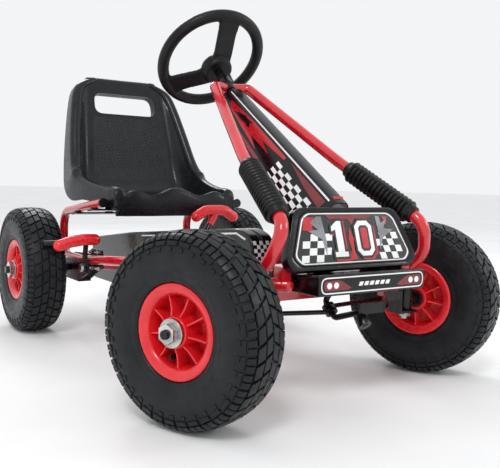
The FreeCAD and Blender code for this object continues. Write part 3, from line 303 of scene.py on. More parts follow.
def sweep(points, radius, sides=32, round_start=False, round_end=False):
    """A tube along points, with flat or rounded ends."""
    stations = [(Vector(p), radius) for p in points]
    for at_start, wanted in ((True, round_start), (False, round_end)):
        if wanted:
            tip, before = (points[0], points[1]) if at_start else (points[-1], points[-2])
            outward = (Vector(tip) - Vector(before)).normalized()
            caps = []
            for step in range(1, 7):
                angle = math.pi / 2 * step / 6.2
                caps.append((Vector(tip) + outward * radius * math.sin(angle), radius * math.cos(angle)))
            stations = caps[::-1] + stations if at_start else stations + caps
    normal = None
    verts = []
    for index, (point, size) in enumerate(stations):
        before = stations[max(index - 1, 0)][0]
        after = stations[min(index + 1, len(stations) - 1)][0]
        tangent = (after - before).normalized()
        if normal is None:
            normal = tangent.orthogonal().normalized()
        normal = (normal - tangent * normal.dot(tangent)).normalized()
        side = tangent.cross(normal)
        for step in range(sides):
            angle = 2 * math.pi * step / sides
            verts.append(point + (normal * math.cos(angle) + side * math.sin(angle)) * size)
    faces = []
    for index in range(len(stations) - 1):
        for step in range(sides):
            a, b = index * sides + step, index * sides + (step + 1) % sides
            faces.append((a, b, b + sides, a + sides))
    faces.append(tuple(range(sides)))
    faces.append(tuple(range((len(stations) - 1) * sides, len(stations) * sides)))
    return verts, faces


def rod(start, end, radius, sides=32):
    return sweep([start, end], radius, sides)


def polish(node_name, material, width=0.6, segments=2):
    """A CAD node that keeps its shape gets its material and softened edges."""
    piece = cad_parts[node_name]
    piece.data.materials.clear()
    piece.data.materials.append(material)
    merge = piece.modifiers.new("weld", "WELD")
    merge.merge_threshold = 0.00001
    flatten = piece.modifiers.new("flat_faces", "DECIMATE")
    flatten.decimate_type = "DISSOLVE"
    flatten.angle_limit = math.radians(1)
    bevel = piece.modifiers.new("edges", "BEVEL")
    bevel.width = width / 1000
    bevel.segments = segments
    bevel.limit_method = "ANGLE"
    bevel.angle_limit = math.radians(35)
    bevel.harden_normals = True


# ---- tyres ---------------------------------------------------------------------------------

# Outer section of the tyre under its lugs: distance from the wheel's middle plane and radius.
TYRE_SECTION = [(0, 126.6), (8, 126.5), (16, 126.1), (24, 125.0), (30, 123.0), (34.2, 119.8), (36.8, 115.4), (38.4, 110),
                (39.4, 103), (39.8, 96), (39.4, 88), (38.2, 80.5), (37.9, 79.6), (37.9, 78.2), (37.4, 77.4), (36.2, 72.6),
                (35.2, 69.2), (35.4, 68.2), (34.9, 67.2), (33.9, 65.2), (32.6, 63.9), (31.4, 63.4)]
LUG_HEIGHT = 3.4
PITCHES = 36


def section_lengths():
    lengths = [0.0]
    for (x0, r0), (x1, r1) in zip(TYRE_SECTION, TYRE_SECTION[1:]):
        lengths.append(lengths[-1] + math.hypot(x1 - x0, r1 - r0))
    return lengths


SECTION_LENGTHS = section_lengths()


def on_section(distance):
    """(x, r) and outward (x, r) direction at that arc length from the tyre's centre line, on either side of it."""
    side = -1 if distance < 0 else 1
    distance = abs(distance)
    index = 0
    while index < len(SECTION_LENGTHS) - 2 and SECTION_LENGTHS[index + 1] < distance:
        index += 1
    share = (distance - SECTION_LENGTHS[index]) / (SECTION_LENGTHS[index + 1] - SECTION_LENGTHS[index])
    (x0, r0), (x1, r1) = TYRE_SECTION[index], TYRE_SECTION[index + 1]
    run = Vector((x1 - x0, r1 - r0)).normalized()
    return side * (x0 + (x1 - x0) * share), r0 + (r1 - r0) * share, side * -run.y, run.x


def lug(corners, height, steps):
    """A raised block. corners are four (arc length, angle in pitches) pairs, going round it."""
    rings = []
    for lift, shrink in ((-0.8, 0.0), (height * 0.86, 0.05), (height, 0.10)):
        middle = (sum(c[0] for c in corners) / 4, sum(c[1] for c in corners) / 4)
        a, b, c, d = [(middle[0] + (s - middle[0]) * (1 - shrink), middle[1] + (t - middle[1]) * (1 - shrink))
                      for s, t in corners]
        ring = []
        for near, far in ((a, b), (c, d)):
            for step in range(steps + 1):
                share = step / steps
                ring.append((near[0] + (far[0] - near[0]) * share, near[1] + (far[1] - near[1]) * share, lift))
        rings.append(ring)
    verts = []
    for ring in rings:
        for distance, pitch, lift in ring:
            x, r, nx, nr = on_section(distance)
            angle = 2 * math.pi * pitch / PITCHES
            reach = r + nr * lift
            verts.append((x + nx * lift, -reach * math.sin(angle), reach * math.cos(angle)))
    count = len(rings[0])
    faces = []
    for level in range(len(rings) - 1):
        for index in range(count):
            after = (index + 1) % count
            low, high = level * count, (level + 1) * count
            faces.append((low + index, low + after, high + after, high + index))
    top = (len(rings) - 1) * count
    for step in range(steps):
        faces.append((top + step, top + step + 1, top + count - step - 2, top + count - step - 1))
    return verts, faces


def tyre_lugs():
    """Zigzag centre blocks, wide middle blocks, split shoulder blocks and thin outer bars."""
    rows = [(0.9, 12.6, 0.04, 0.26, 0.84, LUG_HEIGHT, 3), (14.2, 26.5, 0.40, 0.24, 0.84, LUG_HEIGHT, 3),
            (28.0, 38.5, 0.10, 0.02, 0.40, LUG_HEIGHT - 0.5, 3), (28.0, 38.5, 0.56, 0.02, 0.38, LUG_HEIGHT - 0.5, 3),
            (40.0, 45.5, 0.10, 0.0, 0.84, 2.2, 2), (47.0, 52.5, 0.10, 0.0, 0.38, 1.2, 2)]
    parts = []
    for pitch in range(PITCHES):
        for side in (1, -1):
            for near, far, start, lean, fill, height, steps in rows:
                angle = pitch + start + (0 if side == 1 else 0.5)
                parts.append(lug([(side * near, angle), (side * far, angle + lean),
                                  (side * far, angle + lean + fill), (side * near, angle + fill)], height, steps))
    return parts


def make_tyre_mesh():
    outer = [(x, r) for x, r in TYRE_SECTION]
    inner = [(27.6, 62.4), (27.6, 58), (20, 60)]
    half = outer + inner
    profile = [(x, r) for x, r in half] + [(-x, r) for x, r in half[::-1] if x]
    verts, faces = join([lathe(profile, 144)] + tyre_lugs())
    return [(x, y, max(z, -AXLE_Z)) for x, y, z in verts], faces


def wheel_matrix(side, front):
    if not front:
        return place_matrix((side * 250, 335, AXLE_Z))
    reach = 75
    centre = (side * (175 + reach * math.cos(STEER_REST)), -335 + side * reach * math.sin(STEER_REST), AXLE_Z)
    return place_matrix(centre, Matrix.Rotation(STEER_REST, 4, "Z"))


# ---- rims ----------------------------------------------------------------------------------

def make_rim_mesh(bore):
    """Barrel with wide sloping faces, deep pockets between nine thin ribs, and a long hub."""
    half = [(27.5, 62.6), (30.2, 63.1), (32.2, 62.4), (33.3, 60.8), (33.5, 58.6), (32.8, 56), (31.2, 52.6), (29.4, 50.0),
            (27.6, 48.5), (25.6, 47.6), (12, 45.6), (4.5, 44.6), (2.4, 42.8), (2.0, 40.0), (2.0, 26.5), (2.6, 23.4),
            (5.5, 22.2), (30.5, 21.0), (32.8, 20.6), (33.7, 19.8), (34, 18.8), (34, bore + 1), (33.4, bore)]
    profile = half + [(-x, r) for x, r in half[::-1]] + [(-27.5, 51), (27.5, 51)]
    parts = [lathe(profile, 108)]
    for index in range(9):
        turn = Matrix.Rotation(2 * math.pi * (index + 0.5) / 9, 4, "X")
        for side in (1, -1):
            outline = [(side * 1.0, 21.0), (side * 30.2, 20.4), (side * 29.4, 23.5), (side * 26.6, 30), (side * 25.2, 38),
                       (side * 24.8, 48.2), (side * 1.0, 46.0)]
            part = prism(outline, -1.3, 1.3)
            upright = Matrix(((1, 0, 0, 0), (0, 0, 1, 0), (0, 1, 0, 0), (0, 0, 0, 1)))
            parts.append(moved(part, turn @ upright))
    return join(parts)


def build_wheels():
    tyre_part = make_tyre_mesh()
    for side_name, side in SIDES:
        for end_name, front in (("front", True), ("rear", False)):
            name = "%s_%s" % (end_name, side_name)
            body = "front_wheel_" + side_name if front else "rear_axle"
            matrix = wheel_matrix(side, front)
            tyre = mesh_piece("look_tyre_" + name, *tyre_part, TYRE_RUBBER, matrix)
            finish_piece(tyre, body, ["tyre_" + name], 32)
            rim = mesh_piece("look_rim_" + name, *make_rim_mesh(14 if front else 8), RED_PLASTIC, matrix)
            add_bevel(rim, 0.7, 2, 50)
            finish_piece(rim, body, ["rim_" + name], 35)
            stem = Matrix.Rotation(math.radians(200), 4, "X")
            valve = join([moved(rod((2, 0, 36), (side * 22, 0, 38), 3.6, 24), stem),
                          moved(rod((side * 22, 0, 38), (side * 25, 0, 38.3), 2.6, 24), stem)])
            valve_piece = mesh_piece("look_valve_" + name, *valve, BLACK_RUBBER, matrix)
            finish_piece(add_bevel(valve_piece, 0.5, 2), body)


build_wheels()


# ---- frame tubes ---------------------------------------------------------------------------

def rail_route(side):
    fall = 0.118
    return [(side * 157, 165, 275), (side * 157, 395, 275 - fall * 230), (side * 157, 395, 151), (side * 157, 275, 151),
            (side * 157, -80, 181), (side * 149, -352, 181), (side * 111, -389, 181)]


def upper_route(side):
    return [(side * 9, -48, 491.2), (side * 36, -58, 493), (side * 95, -250, 358), (side * 133, -410, 264),
            (side * 147, -398, 216), (side * 150, -350, 183)]


def bellows_profile():
    """Half section of the ribbed sleeve, as (distance along it, radius)."""
    length, collar, folds = 144.5, 8.0, 16
    pitch = (length - 2 * collar) / folds
    points = [(0, 9.6), (0, 12.6), (1.2, 13.6), (collar - 1.4, 13.8), (collar - 0.4, 14.6)]
    for fold in range(folds):
        for step in range(8):
            share = step / 8
            lift = 0.5 - 0.5 * math.cos(2 * math.pi * share)
            points.append((collar + (fold + share) * pitch, 14.6 + 3.9 * lift ** 0.6))
    points += [(length - collar + 0.4, 14.6), (length - collar + 1.4, 13.8), (length - 1.2, 13.6), (length, 12.6), (length, 9.6)]
    return points


def build_tubes():
    for side_name, side in SIDES:
        rail = sweep(bend_path(rail_route(side), [40, 38, 200, 250, 28]), TUBE_RADIUS, 36, round_end=True)
        piece = mesh_piece("look_side_rail_" + side_name, *rail, RED_PAINT)
        finish_piece(piece, "chassis", ["side_rail_" + side_name])
        upper = sweep(bend_path(upper_route(side), [15, 400, 30, 40]), TUBE_RADIUS, 36)
        piece = mesh_piece("look_upper_tube_" + side_name, *upper, RED_PAINT)
        finish_piece(piece, "chassis", ["upper_tube_" + side_name])
        top, foot = Vector((side * 95, -250, 358)), Vector((side * 133, -410, 264))
        along = (foot - top).normalized()
        turn = along.to_track_quat("X", "Z").to_matrix().to_4x4()
        matrix = place_matrix(top + along * 22.5, turn)
        sleeve = mesh_piece("look_bellows_" + side_name, *lathe(bellows_profile(), 64), BLACK_RUBBER, matrix)
        finish_piece(sleeve, "chassis", ["bellows_" + side_name], 60)


build_tubes()


# ---- steering wheel ------------------------------------------------------------------------

def build_steering_wheel():
    parts = []
    ring = []
    for step in range(72):
        angle = 2 * math.pi * step / 72
        ring.append(Vector((95.6 * math.cos(angle), 95.6 * math.sin(angle), 0)))
    verts, faces = [], []
    for step, centre in enumerate(ring):
        outward = centre.normalized()
        for index in range(20):
            turn = 2 * math.pi * index / 20
            verts.append(centre + outward * 11.0 * math.cos(turn) + Z_AXIS * 10.4 * math.sin(turn))
            a, b = step * 20 + index, step * 20 + (index + 1) % 20
            after = (step + 1) % 72 * 20 - step * 20
            faces.append((a, b, b + after, a + after))
    parts.append((verts, faces))
    for angle in (-90, 45, 135):
        turn = Matrix.Rotation(math.radians(angle), 4, "Z")
        spoke = [(10, -19, -31), (10, 19, -31), (40, 18, -25), (68, 18.5, -12), (94, 20, -5)]
        outline = []
        for x, half, z in ((8, 20, -32), (34, 18, -27), (66, 18.5, -13), (93, 21, -4)):
            outline.append((x, half, z))
        spoke_verts, spoke_faces = [], []
        for x, half, z in outline:
            spoke_verts += [(x, -half, z - 4.5), (x, half, z - 4.5), (x, half, z + 4.5), (x, -half, z + 4.5)]
        for index in range(len(outline) - 1):
            base = index * 4
            spoke_faces += [(base + i, base + (i + 1) % 4, base + 4 + (i + 1) % 4, base + 4 + i) for i in range(4)]
        last = (len(outline) - 1) * 4
        spoke_faces += [(0, 1, 2, 3), (last, last + 1, last + 2, last + 3)]
        parts.append(moved((spoke_verts, spoke_faces), turn))
    hub = lathe([(-41, 0.1), (-41, 25), (-38, 27.5), (-22, 29), (-17.5, 27), (-16, 24), (-16, 0.1)], 48)
    parts.append(moved(hub, Matrix.Rotation(math.radians(-90), 4, "Y")))
    piece = mesh_piece("look_steering_wheel", *join(parts), BLACK_MATTE, COLUMN)
    melt = piece.modifiers.new("melt", "REMESH")
    melt.mode = "VOXEL"
    melt.voxel_size = 0.0016
    relax = piece.modifiers.new("relax", "SMOOTH")
    relax.factor = 0.6
    relax.iterations = 9
    finish_piece(piece, "steering", ["steering_wheel"], 60)
    cap = lathe([(-17, 0.1), (-17, 19.5), (-14.5, 20), (-12.6, 19), (-10.4, 13), (-9.4, 6), (-9.2, 0.1)], 64)
    cap_piece = mesh_piece("look_wheel_cap", *moved(cap, Matrix.Rotation(math.radians(-90), 4, "Y")), BLACK_GLOSS, COLUMN)
    finish_piece(cap_piece, "steering", ["steering_wheel_cap"], 45)


build_steering_wheel()


# ---- seat ----------------------------------------------------------------------------------

# Middle of the seat surface (y, z), half width of the flat part, half width at the lip, height of the lip and
# length of the skirt outside the lip.
SEAT_STATIONS = [(151, 290, 112, 120, 12, 42), (172, 286, 114, 124, 19, 38), (205, 279, 116, 129, 27, 34),
                 (270, 276, 118, 138, 40, 38), (325, 281, 118, 143, 52, 58), (362, 303, 117, 144, 56, 66),
                 (385, 345, 114, 139, 46, 54), (402, 415, 108, 129, 30, 42), (420, 485, 100, 116, 18, 34),
                 (431, 524, 92, 105, 11, 28), (436, 541, 80, 90, 6, 22), (439, 552, 62, 68, 2, 16)]
SEAT_ROWS = 80
SEAT_RIM = 16
SEAT_FRONT_FOOT = 250
SEAT_BACK_DEPTH = -20
SLOT_CENTRE = (0, 423.6, 499.5)
SLOT_LEAN = math.radians(14.9)


def smooth_station(position):
    """Catmull-Rom blend between the seat's stations."""
    last = len(SEAT_STATIONS) - 1
    index = min(int(position), last - 1)
    share = position - index
    picks = [SEAT_STATIONS[min(max(index + offset, 0), last)] for offset in (-1, 0, 1, 2)]
    blend = []
    for a, b, c, d in zip(*picks):
        blend.append(0.5 * (2 * b + (c - a) * share + (2 * a - 5 * b + 4 * c - d) * share ** 2
                            + (3 * b - a - 3 * c + d) * share ** 3))
    return blend


def seat_profile(flat_half, lip_half, lip, skirt):
    """Half section from the middle out, as (x, height): pan, side, rolled rim and outer skirt."""
    points = [(flat_half * share, -1.5 * (1 - share ** 2)) for share in (0, 0.12, 0.24, 0.36, 0.48, 0.6, 0.7, 0.8, 0.88)]
    round_tall = min(8.5, 2 + lip * 0.7)
    corner = Vector((flat_half + 2, 0))
    slope = Vector((lip_half - 1, lip - round_tall * 0.85)) - corner
    start, end = Vector((flat_half * 0.93, -0.4)), corner + slope * 0.45
    for share in (0, 0.25, 0.5, 0.75, 1):
        points.append(tuple((1 - share) ** 2 * start + 2 * share * (1 - share) * corner + share ** 2 * end))
    points += [tuple(corner + slope * share) for share in (0.65, 0.85)]
    for angle in range(170, -1, -17):
        turn = math.radians(angle)
        points.append((lip_half + 7.5 + 8.5 * math.cos(turn), lip + (math.sin(turn) - 1) * round_tall))
    foot = lip - skirt
    start = lip - round_tall
    points += [(lip_half + SEAT_RIM, start + (foot - start) * share) for share in (0.25, 0.5, 0.75, 1)]
    return points


def seat_rows():
    """Points of the seat's skin, row after row from the foot of its front to the back of its top edge."""
    rows = []
    for row in range(SEAT_ROWS + 1):
        position = (len(SEAT_STATIONS) - 1) * row / SEAT_ROWS
        y, z, flat_half, lip_half, lip, skirt = smooth_station(position)
        before, after = smooth_station(max(position - 0.05, 0)), smooth_station(min(position + 0.05, 10.9999))
        along = Vector((0, after[0] - before[0], after[1] - before[1])).normalized()
        inward = X_AXIS.cross(along)
        half = seat_profile(flat_half, lip_half, lip, skirt)
        section = [(-x, h) for x, h in half[:0:-1]] + half
        points = []
        for x, h in section:
            point = Vector((0, y, z)) + X_AXIS * x + inward * h
            if abs(x) < flat_half:
                ease = math.exp(-((y - 158) / 22) ** 2) * (1 - (x / flat_half) ** 6)
                point.z += ease * (8 + 9 * math.cos(x / flat_half * 2 * math.pi))
            points.append(point)
        rows.append(points)
    front = []
    for drop, ahead in ((1, 0.8), (0.85, 2.8), (0.65, 3.6), (0.45, 3.8), (0.28, 3.7), (0.15, 3.0), (0.06, 1.7)):
        front.append([Vector((p.x, p.y - ahead + (p.y - 151) * -drop, p.z + (SEAT_FRONT_FOOT - p.z) * drop)) for p in rows[0]])
    top = []
    for rise, back in ((2.6, 0.04), (5.0, 0.14), (6.8, 0.3), (7.4, 0.5), (7.0, 0.75), (6.4, 1.0)):
        points = []
        for p, (x, h) in zip(rows[-1], section):
            points.append(p + along * rise + inward * (SEAT_BACK_DEPTH - h) * back)
        top.append(points)
    return front + rows + top


def seat_pattern(centre):
    """Where the moulded diamond pattern lies."""
    y, z = centre.y - CENTRE_Y, centre.z
    on_back = abs(centre.x) < 86 - 0.1 * max(0, z - 400) and 322 < z < 462
    return on_back or (abs(centre.x) < 84 and 205 < y < 320 and z < 292)


def build_seat():
    rows = seat_rows()
    count = len(rows[0])
    verts = [point for points in rows for point in points]
    faces = []
    for row in range(len(rows) - 1):
        for index in range(count - 1):
            a = row * count + index
            faces.append((a, a + 1, a + count + 1, a + count))
    piece = mesh_piece("look_seat", verts, faces, SEAT_BLACK)
    build = bmesh.new()
    build.from_mesh(piece.data)
    bmesh.ops.remove_doubles(build, verts=build.verts, dist=0.0002)
    bmesh.ops.recalc_face_normals(build, faces=build.faces)
    build.to_mesh(piece.data)
    build.free()
    piece.data.materials.append(SEAT_DIAMONDS)
    for face in piece.data.polygons:
        face.material_index = 1 if seat_pattern(face.center * 1000) else 0
    thick = piece.modifiers.new("thick", "SOLIDIFY")
    thick.thickness = 0.004
    thick.offset = -1
    slot_outline = rounded([(-77, -25), (77, -25), (75, 25), (-75, 25)], 20, 8)
    slot_frame = place_matrix(SLOT_CENTRE, Matrix.Rotation(math.pi / 2 - SLOT_LEAN, 4, "X"))
    cutter = mesh_piece("seat_slot_cutter", *prism(slot_outline, -40, 40), SEAT_BLACK, slot_frame)
    hole = piece.modifiers.new("slot", "BOOLEAN")
    hole.object = cutter
    hole.operation = "DIFFERENCE"
    hole.solver = "EXACT"
    applied = bpy.data.meshes.new_from_object(piece.evaluated_get(bpy.context.evaluated_depsgraph_get()))
    piece.modifiers.clear()
    piece.data = applied
    bpy.data.objects.remove(cutter)
    finish_piece(piece, "chassis", ["seat_shell"], 45)
    rings = []
    for grow, height in ((5, -1.2), (3.6, 0.9), (2, 1.6), (0.6, 0.9), (0, -1.2), (0, -18), (2.4, -19.5), (5, -18)):
        rings.append([(x * (1 + grow / 76), y * (1 + grow / 25), height) for x, y in slot_outline])
    size = len(slot_outline)
    verts = [point for ring in rings for point in ring]
    faces = []
    for level in range(len(rings)):
        low, high = level * size, (level + 1) % len(rings) * size
        faces += [(low + i, low + (i + 1) % size, high + (i + 1) % size, high + i) for i in range(size)]
    collar = mesh_piece("look_seat_slot_collar", verts, faces, SEAT_BLACK, slot_frame)
    finish_piece(collar, "chassis", (), 50)


build_seat()


# ---- fairing, number panel and bumper -------------------------------------------------------

FAIRING_TOP, FAIRING_FOOT = Vector((0, -74, 488.9)), Vector((0, -370, 293.6))
FAIRING_ALONG = (FAIRING_FOOT - FAIRING_TOP).normalized()
FAIRING_NORMAL = FAIRING_ALONG.cross(X_AXIS)


def fairing_point(along, across, side, lift=0.0):
    """Point on the fairing: along 0 at the top to 1 at the foot, across 0 at the ridge edge to 1 at the rear edge."""
    ridge = FAIRING_TOP + (FAIRING_FOOT - FAIRING_TOP) * along
    flare, depth = 24 + 36 * along, 38 + 30 * along
    edge = ridge + X_AXIS * side * 12
    rear = ridge + X_AXIS * side * flare - FAIRING_NORMAL * depth
    outward = (rear - edge).cross(FAIRING_ALONG).normalized()
    if outward.x * side < 0:
        outward = -outward
    return edge + (rear - edge) * across + outward * lift


def prints(name, outlines, mapping, material, lift=0.0):
    """Several outlines of one colour as one piece."""
    parts = []
    for outline in outlines:
        count = len(outline)
        verts = [mapping(u, v, 0.1 + lift) for u, v in outline] + [mapping(u, v, 0.35 + lift) for u, v in outline]
        faces = [tuple(range(count)), tuple(range(count, 2 * count))]
        faces += [(i, (i + 1) % count, count + (i + 1) % count, count + i) for i in range(count)]
        parts.append((verts, faces))
    return finish_piece(mesh_piece(name, *join(parts), material), "chassis")


def checker(low_u, low_v, size_u, size_v, columns, rows, slant=0.0):
    """Every second square of a board."""
    squares = []
    for row in range(rows):
        for column in range(columns):
            if (row + column) % 2:
                continue
            u, v = low_u + column * size_u + slant * row, low_v + row * size_v
            squares.append([(u, v), (u + size_u, v), (u + size_u + slant, v + size_v), (u + slant, v + size_v)])
    return squares


def build_fairing():
    verts, faces = [], []
    levels = 13
    for level in range(levels):
        along = level / (levels - 1)
        left = [fairing_point(along, across, 1) for across in (1, 0.66, 0.33, 0.06)]
        right = [fairing_point(along, across, -1) for across in (0.06, 0.33, 0.66, 1)]
        ridge = FAIRING_TOP + (FAIRING_FOOT - FAIRING_TOP) * along
        crown = [ridge + X_AXIS * x + FAIRING_NORMAL * h for x, h in ((11, -0.7), (8.5, 0), (0, 0.5), (-8.5, 0), (-11, -0.7))]
        verts += left + crown + right
    count = 13
    for level in range(levels - 1):
        for index in range(count - 1):
            a = level * count + index
            faces.append((a, a + 1, a + count + 1, a + count))
    piece = mesh_piece("look_fairing", verts, faces, BLACK_GLOSS)
    thick = piece.modifiers.new("thick", "SOLIDIFY")
    thick.thickness = 0.0022
    thick.offset = -1
    add_bevel(piece, 0.8, 2, 40)
    finish_piece(piece, "chassis", ["column_fairing"], 35)
    for side_name, side in SIDES:
        def mapping(u, v, lift):
            return fairing_point(u, v, side, lift)
        prints("print_fairing_line_" + side_name, [[(0.02, 0.05), (0.97, 0.04), (0.97, 0.075), (0.02, 0.1)],
                                                   [(0.03, 0.9), (0.97, 0.94), (0.97, 0.97), (0.03, 0.95)]], mapping, PRINT_WHITE)
        prints("print_fairing_red_" + side_name, [[(0.06, 0.3), (0.30, 0.17), (0.62, 0.14), (0.62, 0.22), (0.42, 0.34), (0.52, 0.44),
                                                   (0.34, 0.52), (0.44, 0.66), (0.26, 0.62), (0.10, 0.56)]], mapping, PRINT_RED)
        prints("print_fairing_dark_" + side_name, [[(0.66, 0.13), (0.96, 0.12), (0.96, 0.3), (0.82, 0.26)],
                                                   [(0.48, 0.72), (0.62, 0.8), (0.40, 0.84), (0.22, 0.76)]], mapping, PRINT_DARK_RED)
        prints("print_fairing_checks_" + side_name, checker(0.60, 0.34, 0.045, 0.09, 8, 6), mapping, PRINT_WHITE)


PANEL_LEAN = math.radians(72.8)
PANEL = place_matrix((0, -408, 201), Matrix.Rotation(PANEL_LEAN, 4, "X"))
PANEL_OUTLINE = [(-112, 0), (112, 0), (124, 14), (100, 82), (88, 91), (-88, 91), (-100, 82), (-124, 14)]


def panel_print(name, outlines, material, lift=0.0):
    """Prints on the number plate, in its own flat axes."""
    parts = [prism(outline, 0.95 + lift, 1.2 + lift) for outline in outlines]
    return finish_piece(mesh_piece(name, *join(parts), material, PANEL), "chassis")


FIGURE_ONE = [(-37, 18), (-13, 18), (-13, 25), (-19, 25), (-19, 70), (-27, 70), (-38, 62), (-38, 55), (-31, 58), (-31, 25), (-37, 25)]
FIGURE_ZERO = [(6, 26), (14, 18), (31, 18), (39, 26), (39, 62), (31, 70), (14, 70), (6, 62)]


def grow_outline(outline, extra):
    """The outline pushed out by extra on every side, along the bisectors of its corners."""
    area = sum(a[0] * b[1] - b[0] * a[1] for a, b in zip(outline, outline[1:] + outline[:1]))
    sign = 1 if area > 0 else -1
    grown = []
    for index, corner in enumerate(outline):
        before = (Vector(corner) - Vector(outline[index - 1])).normalized()
        after = (Vector(outline[(index + 1) % len(outline)]) - Vector(corner)).normalized()
        first, second = Vector((before.y, -before.x)), Vector((after.y, -after.x))
        push = (first + second) / (1 + first.dot(second))
        grown.append(tuple(Vector(corner) + push * extra * sign))
    return grown


def inset_outline(scale_x, scale_y, outline=PANEL_OUTLINE, middle=45.5):
    return [(x * scale_x, middle + (y - middle) * scale_y) for x, y in outline]


def frame_strip(outer, inner):
    """A closed band between two outlines with the same number of points."""
    count = len(outer)
    return [[outer[i], outer[(i + 1) % count], inner[(i + 1) % count], inner[i]] for i in range(count)]


def build_panel():
    outer = rounded(PANEL_OUTLINE, 9)
    inner = rounded(inset_outline(0.9, 0.84), 7)
    count = len(outer)
    rings = [(outer, -14), (outer, -1.2), (inset_ring(outer, 0.992, 0.98), 0.4), (inset_ring(inner, 1.02, 1.03), 0.4),
             (inner, -0.4), (inner, -2.4)]
    verts, faces = [], []
    for ring, height in rings:
        verts += [(x, y, height) for x, y in ring]
    for level in range(len(rings) - 1):
        for index in range(count):
            after = (index + 1) % count
            faces.append((level * count + index, level * count + after, (level + 1) * count + after, (level + 1) * count + index))
    faces.append(tuple(range((len(rings) - 1) * count, len(rings) * count)))
    back = inset_ring(outer, 0.97, 0.93)
    base = len(verts)
    verts += [(x, y, -14) for x, y in back] + [(x, y, -4.6) for x, y in back]
    for index in range(count):
        after = (index + 1) % count
        faces.append((index, after, base + after, base + index))
        faces.append((base + index, base + after, base + count + after, base + count + index))
    faces.append(tuple(range(base + count, base + 2 * count)))
    piece = mesh_piece("look_number_panel", verts, faces, BLACK_GLOSS, PANEL)
    add_bevel(piece, 0.8, 2, 40)
    finish_piece(piece, "chassis", ["number_panel"], 35)
    plate = mesh_piece("look_number_plate", *prism(rounded(inset_outline(0.895, 0.83), 7), -2.3, 0.7), PRINT_BLACK, PANEL)
    finish_piece(plate, "chassis", ["number_plate"], 35)
    panel_print("print_panel_border", frame_strip(rounded(inset_outline(0.875, 0.80), 6), rounded(inset_outline(0.855, 0.765), 6)),
                PRINT_WHITE)
    checks_left = checker(-99, 12, 13, 10, 4, 4, 2.6)
    checks_right = checker(50, 12, 12, 10, 4, 4, -2.6)
    panel_print("print_panel_checks", checks_left + checks_right, PRINT_WHITE)
    panel_print("print_panel_red", [[(-84, 76), (-66, 76), (-72, 60), (-66, 54), (-89, 58)], [(64, 76), (74, 76), (70, 62)],
                                    [(-8, 13), (4, 13), (0, 28), (2, 44), (-4, 60), (-8, 44), (-5, 28)]], PRINT_RED, 0.1)
    panel_print("print_panel_grey", [[(-62, 77), (-53, 77), (-49, 40), (-52, 22), (-57, 44), (-80, 56), (-62, 58), (-74, 68)],
                                     [(50, 77), (58, 77), (60, 66), (72, 72), (64, 58), (82, 56), (60, 44), (50, 26), (53, 46)],
                                     [(-30, 12), (-22, 12), (-34, 16)], [(18, 12), (26, 12), (30, 16)]], PRINT_GREY, 0.2)
    panel_print("print_panel_top", [[(-45, 79), (43, 79), (36, 73), (8, 73), (2, 64), (-6, 73), (-40, 73)]], PRINT_DARK_RED, 0.1)
    figures = [FIGURE_ONE, FIGURE_ZERO]
    panel_print("print_figure_shadow", [[(x + 3, y - 3) for x, y in grow_outline(o, 3.0)] for o in figures], PRINT_RED, 0.3)
    panel_print("print_figure_edge", [grow_outline(o, 3.4) for o in figures], PRINT_BLACK, 0.5)
    panel_print("print_figures", figures, PRINT_WHITE, 0.7)
    panel_print("print_figure_hole", [grow_outline(FIGURE_ZERO, -7)], PRINT_BLACK, 0.9)
    panel_print("print_figure_core", [grow_outline(FIGURE_ZERO, -10.5)], PRINT_RED, 1.1)


def inset_ring(ring, scale_x, scale_y, middle=45.5):
    return [(x * scale_x, middle + (y - middle) * scale_y) for x, y in ring]


def build_bumper():
    side_outline = [(-444, 171), (-444, 201), (-411, 196.5), (-372, 196.5), (-372, 171)]
    outline = rounded(side_outline, 5)
    upright = Matrix(((0, 0, 1, 0), (1, 0, 0, 0), (0, 1, 0, 0), (0, 0, 0, 1)))
    piece = mesh_piece("look_bumper", *moved(prism(outline, -100, 100), upright), BLACK_GLOSS)
    add_bevel(piece, 3.5, 4, 50)
    finish_piece(piece, "chassis", ["bumper"], 35)

    def mapping(u, v, lift):
        return Vector((u, -444 - lift, v))
    band = rounded([(-96, 174.5), (96, 174.5), (96, 197), (-96, 197)], 12)
    inner = rounded([(-94.2, 176.3), (94.2, 176.3), (94.2, 195.2), (-94.2, 195.2)], 10.5)
    prints("print_bumper_line", frame_strip(band, inner), mapping, PRINT_WHITE)
    for side_name, side in SIDES:
        swoosh = rounded([(side * 91, 179), (side * 50, 179), (side * 42, 181), (side * 62, 192.5), (side * 91, 192.5)], 5)
        prints("print_bumper_swoosh_" + side_name, [swoosh], mapping, PRINT_DARK_RED)
        dots = []
        for centre in (82, 70):
            dots.append([(side * centre + 4.3 * math.cos(a * math.pi / 10), 185.8 + 4.3 * math.sin(a * math.pi / 10)) for a in range(20)])
        prints("print_bumper_dots_" + side_name, dots, mapping, PRINT_WHITE, 0.3)
    prints("print_bumper_slashes", [[(x, 183), (x + 7, 183), (x + 9.5, 188.5), (x + 2.5, 188.5)] for x in range(-30, 24, 10)], mapping,
           PRINT_WHITE)


build_fairing()
build_panel()
build_bumper()


# ---- chain guard ----------------------------------------------------------------------------

GUARD_OUTLINE = [(438, 104), (438, 172), (424, 187), (224, 211), (-205, 247), (-240, 236), (-250, 205),
                 (-243, 168), (-215, 146), (-160, 138), (300, 90), (425, 90)]


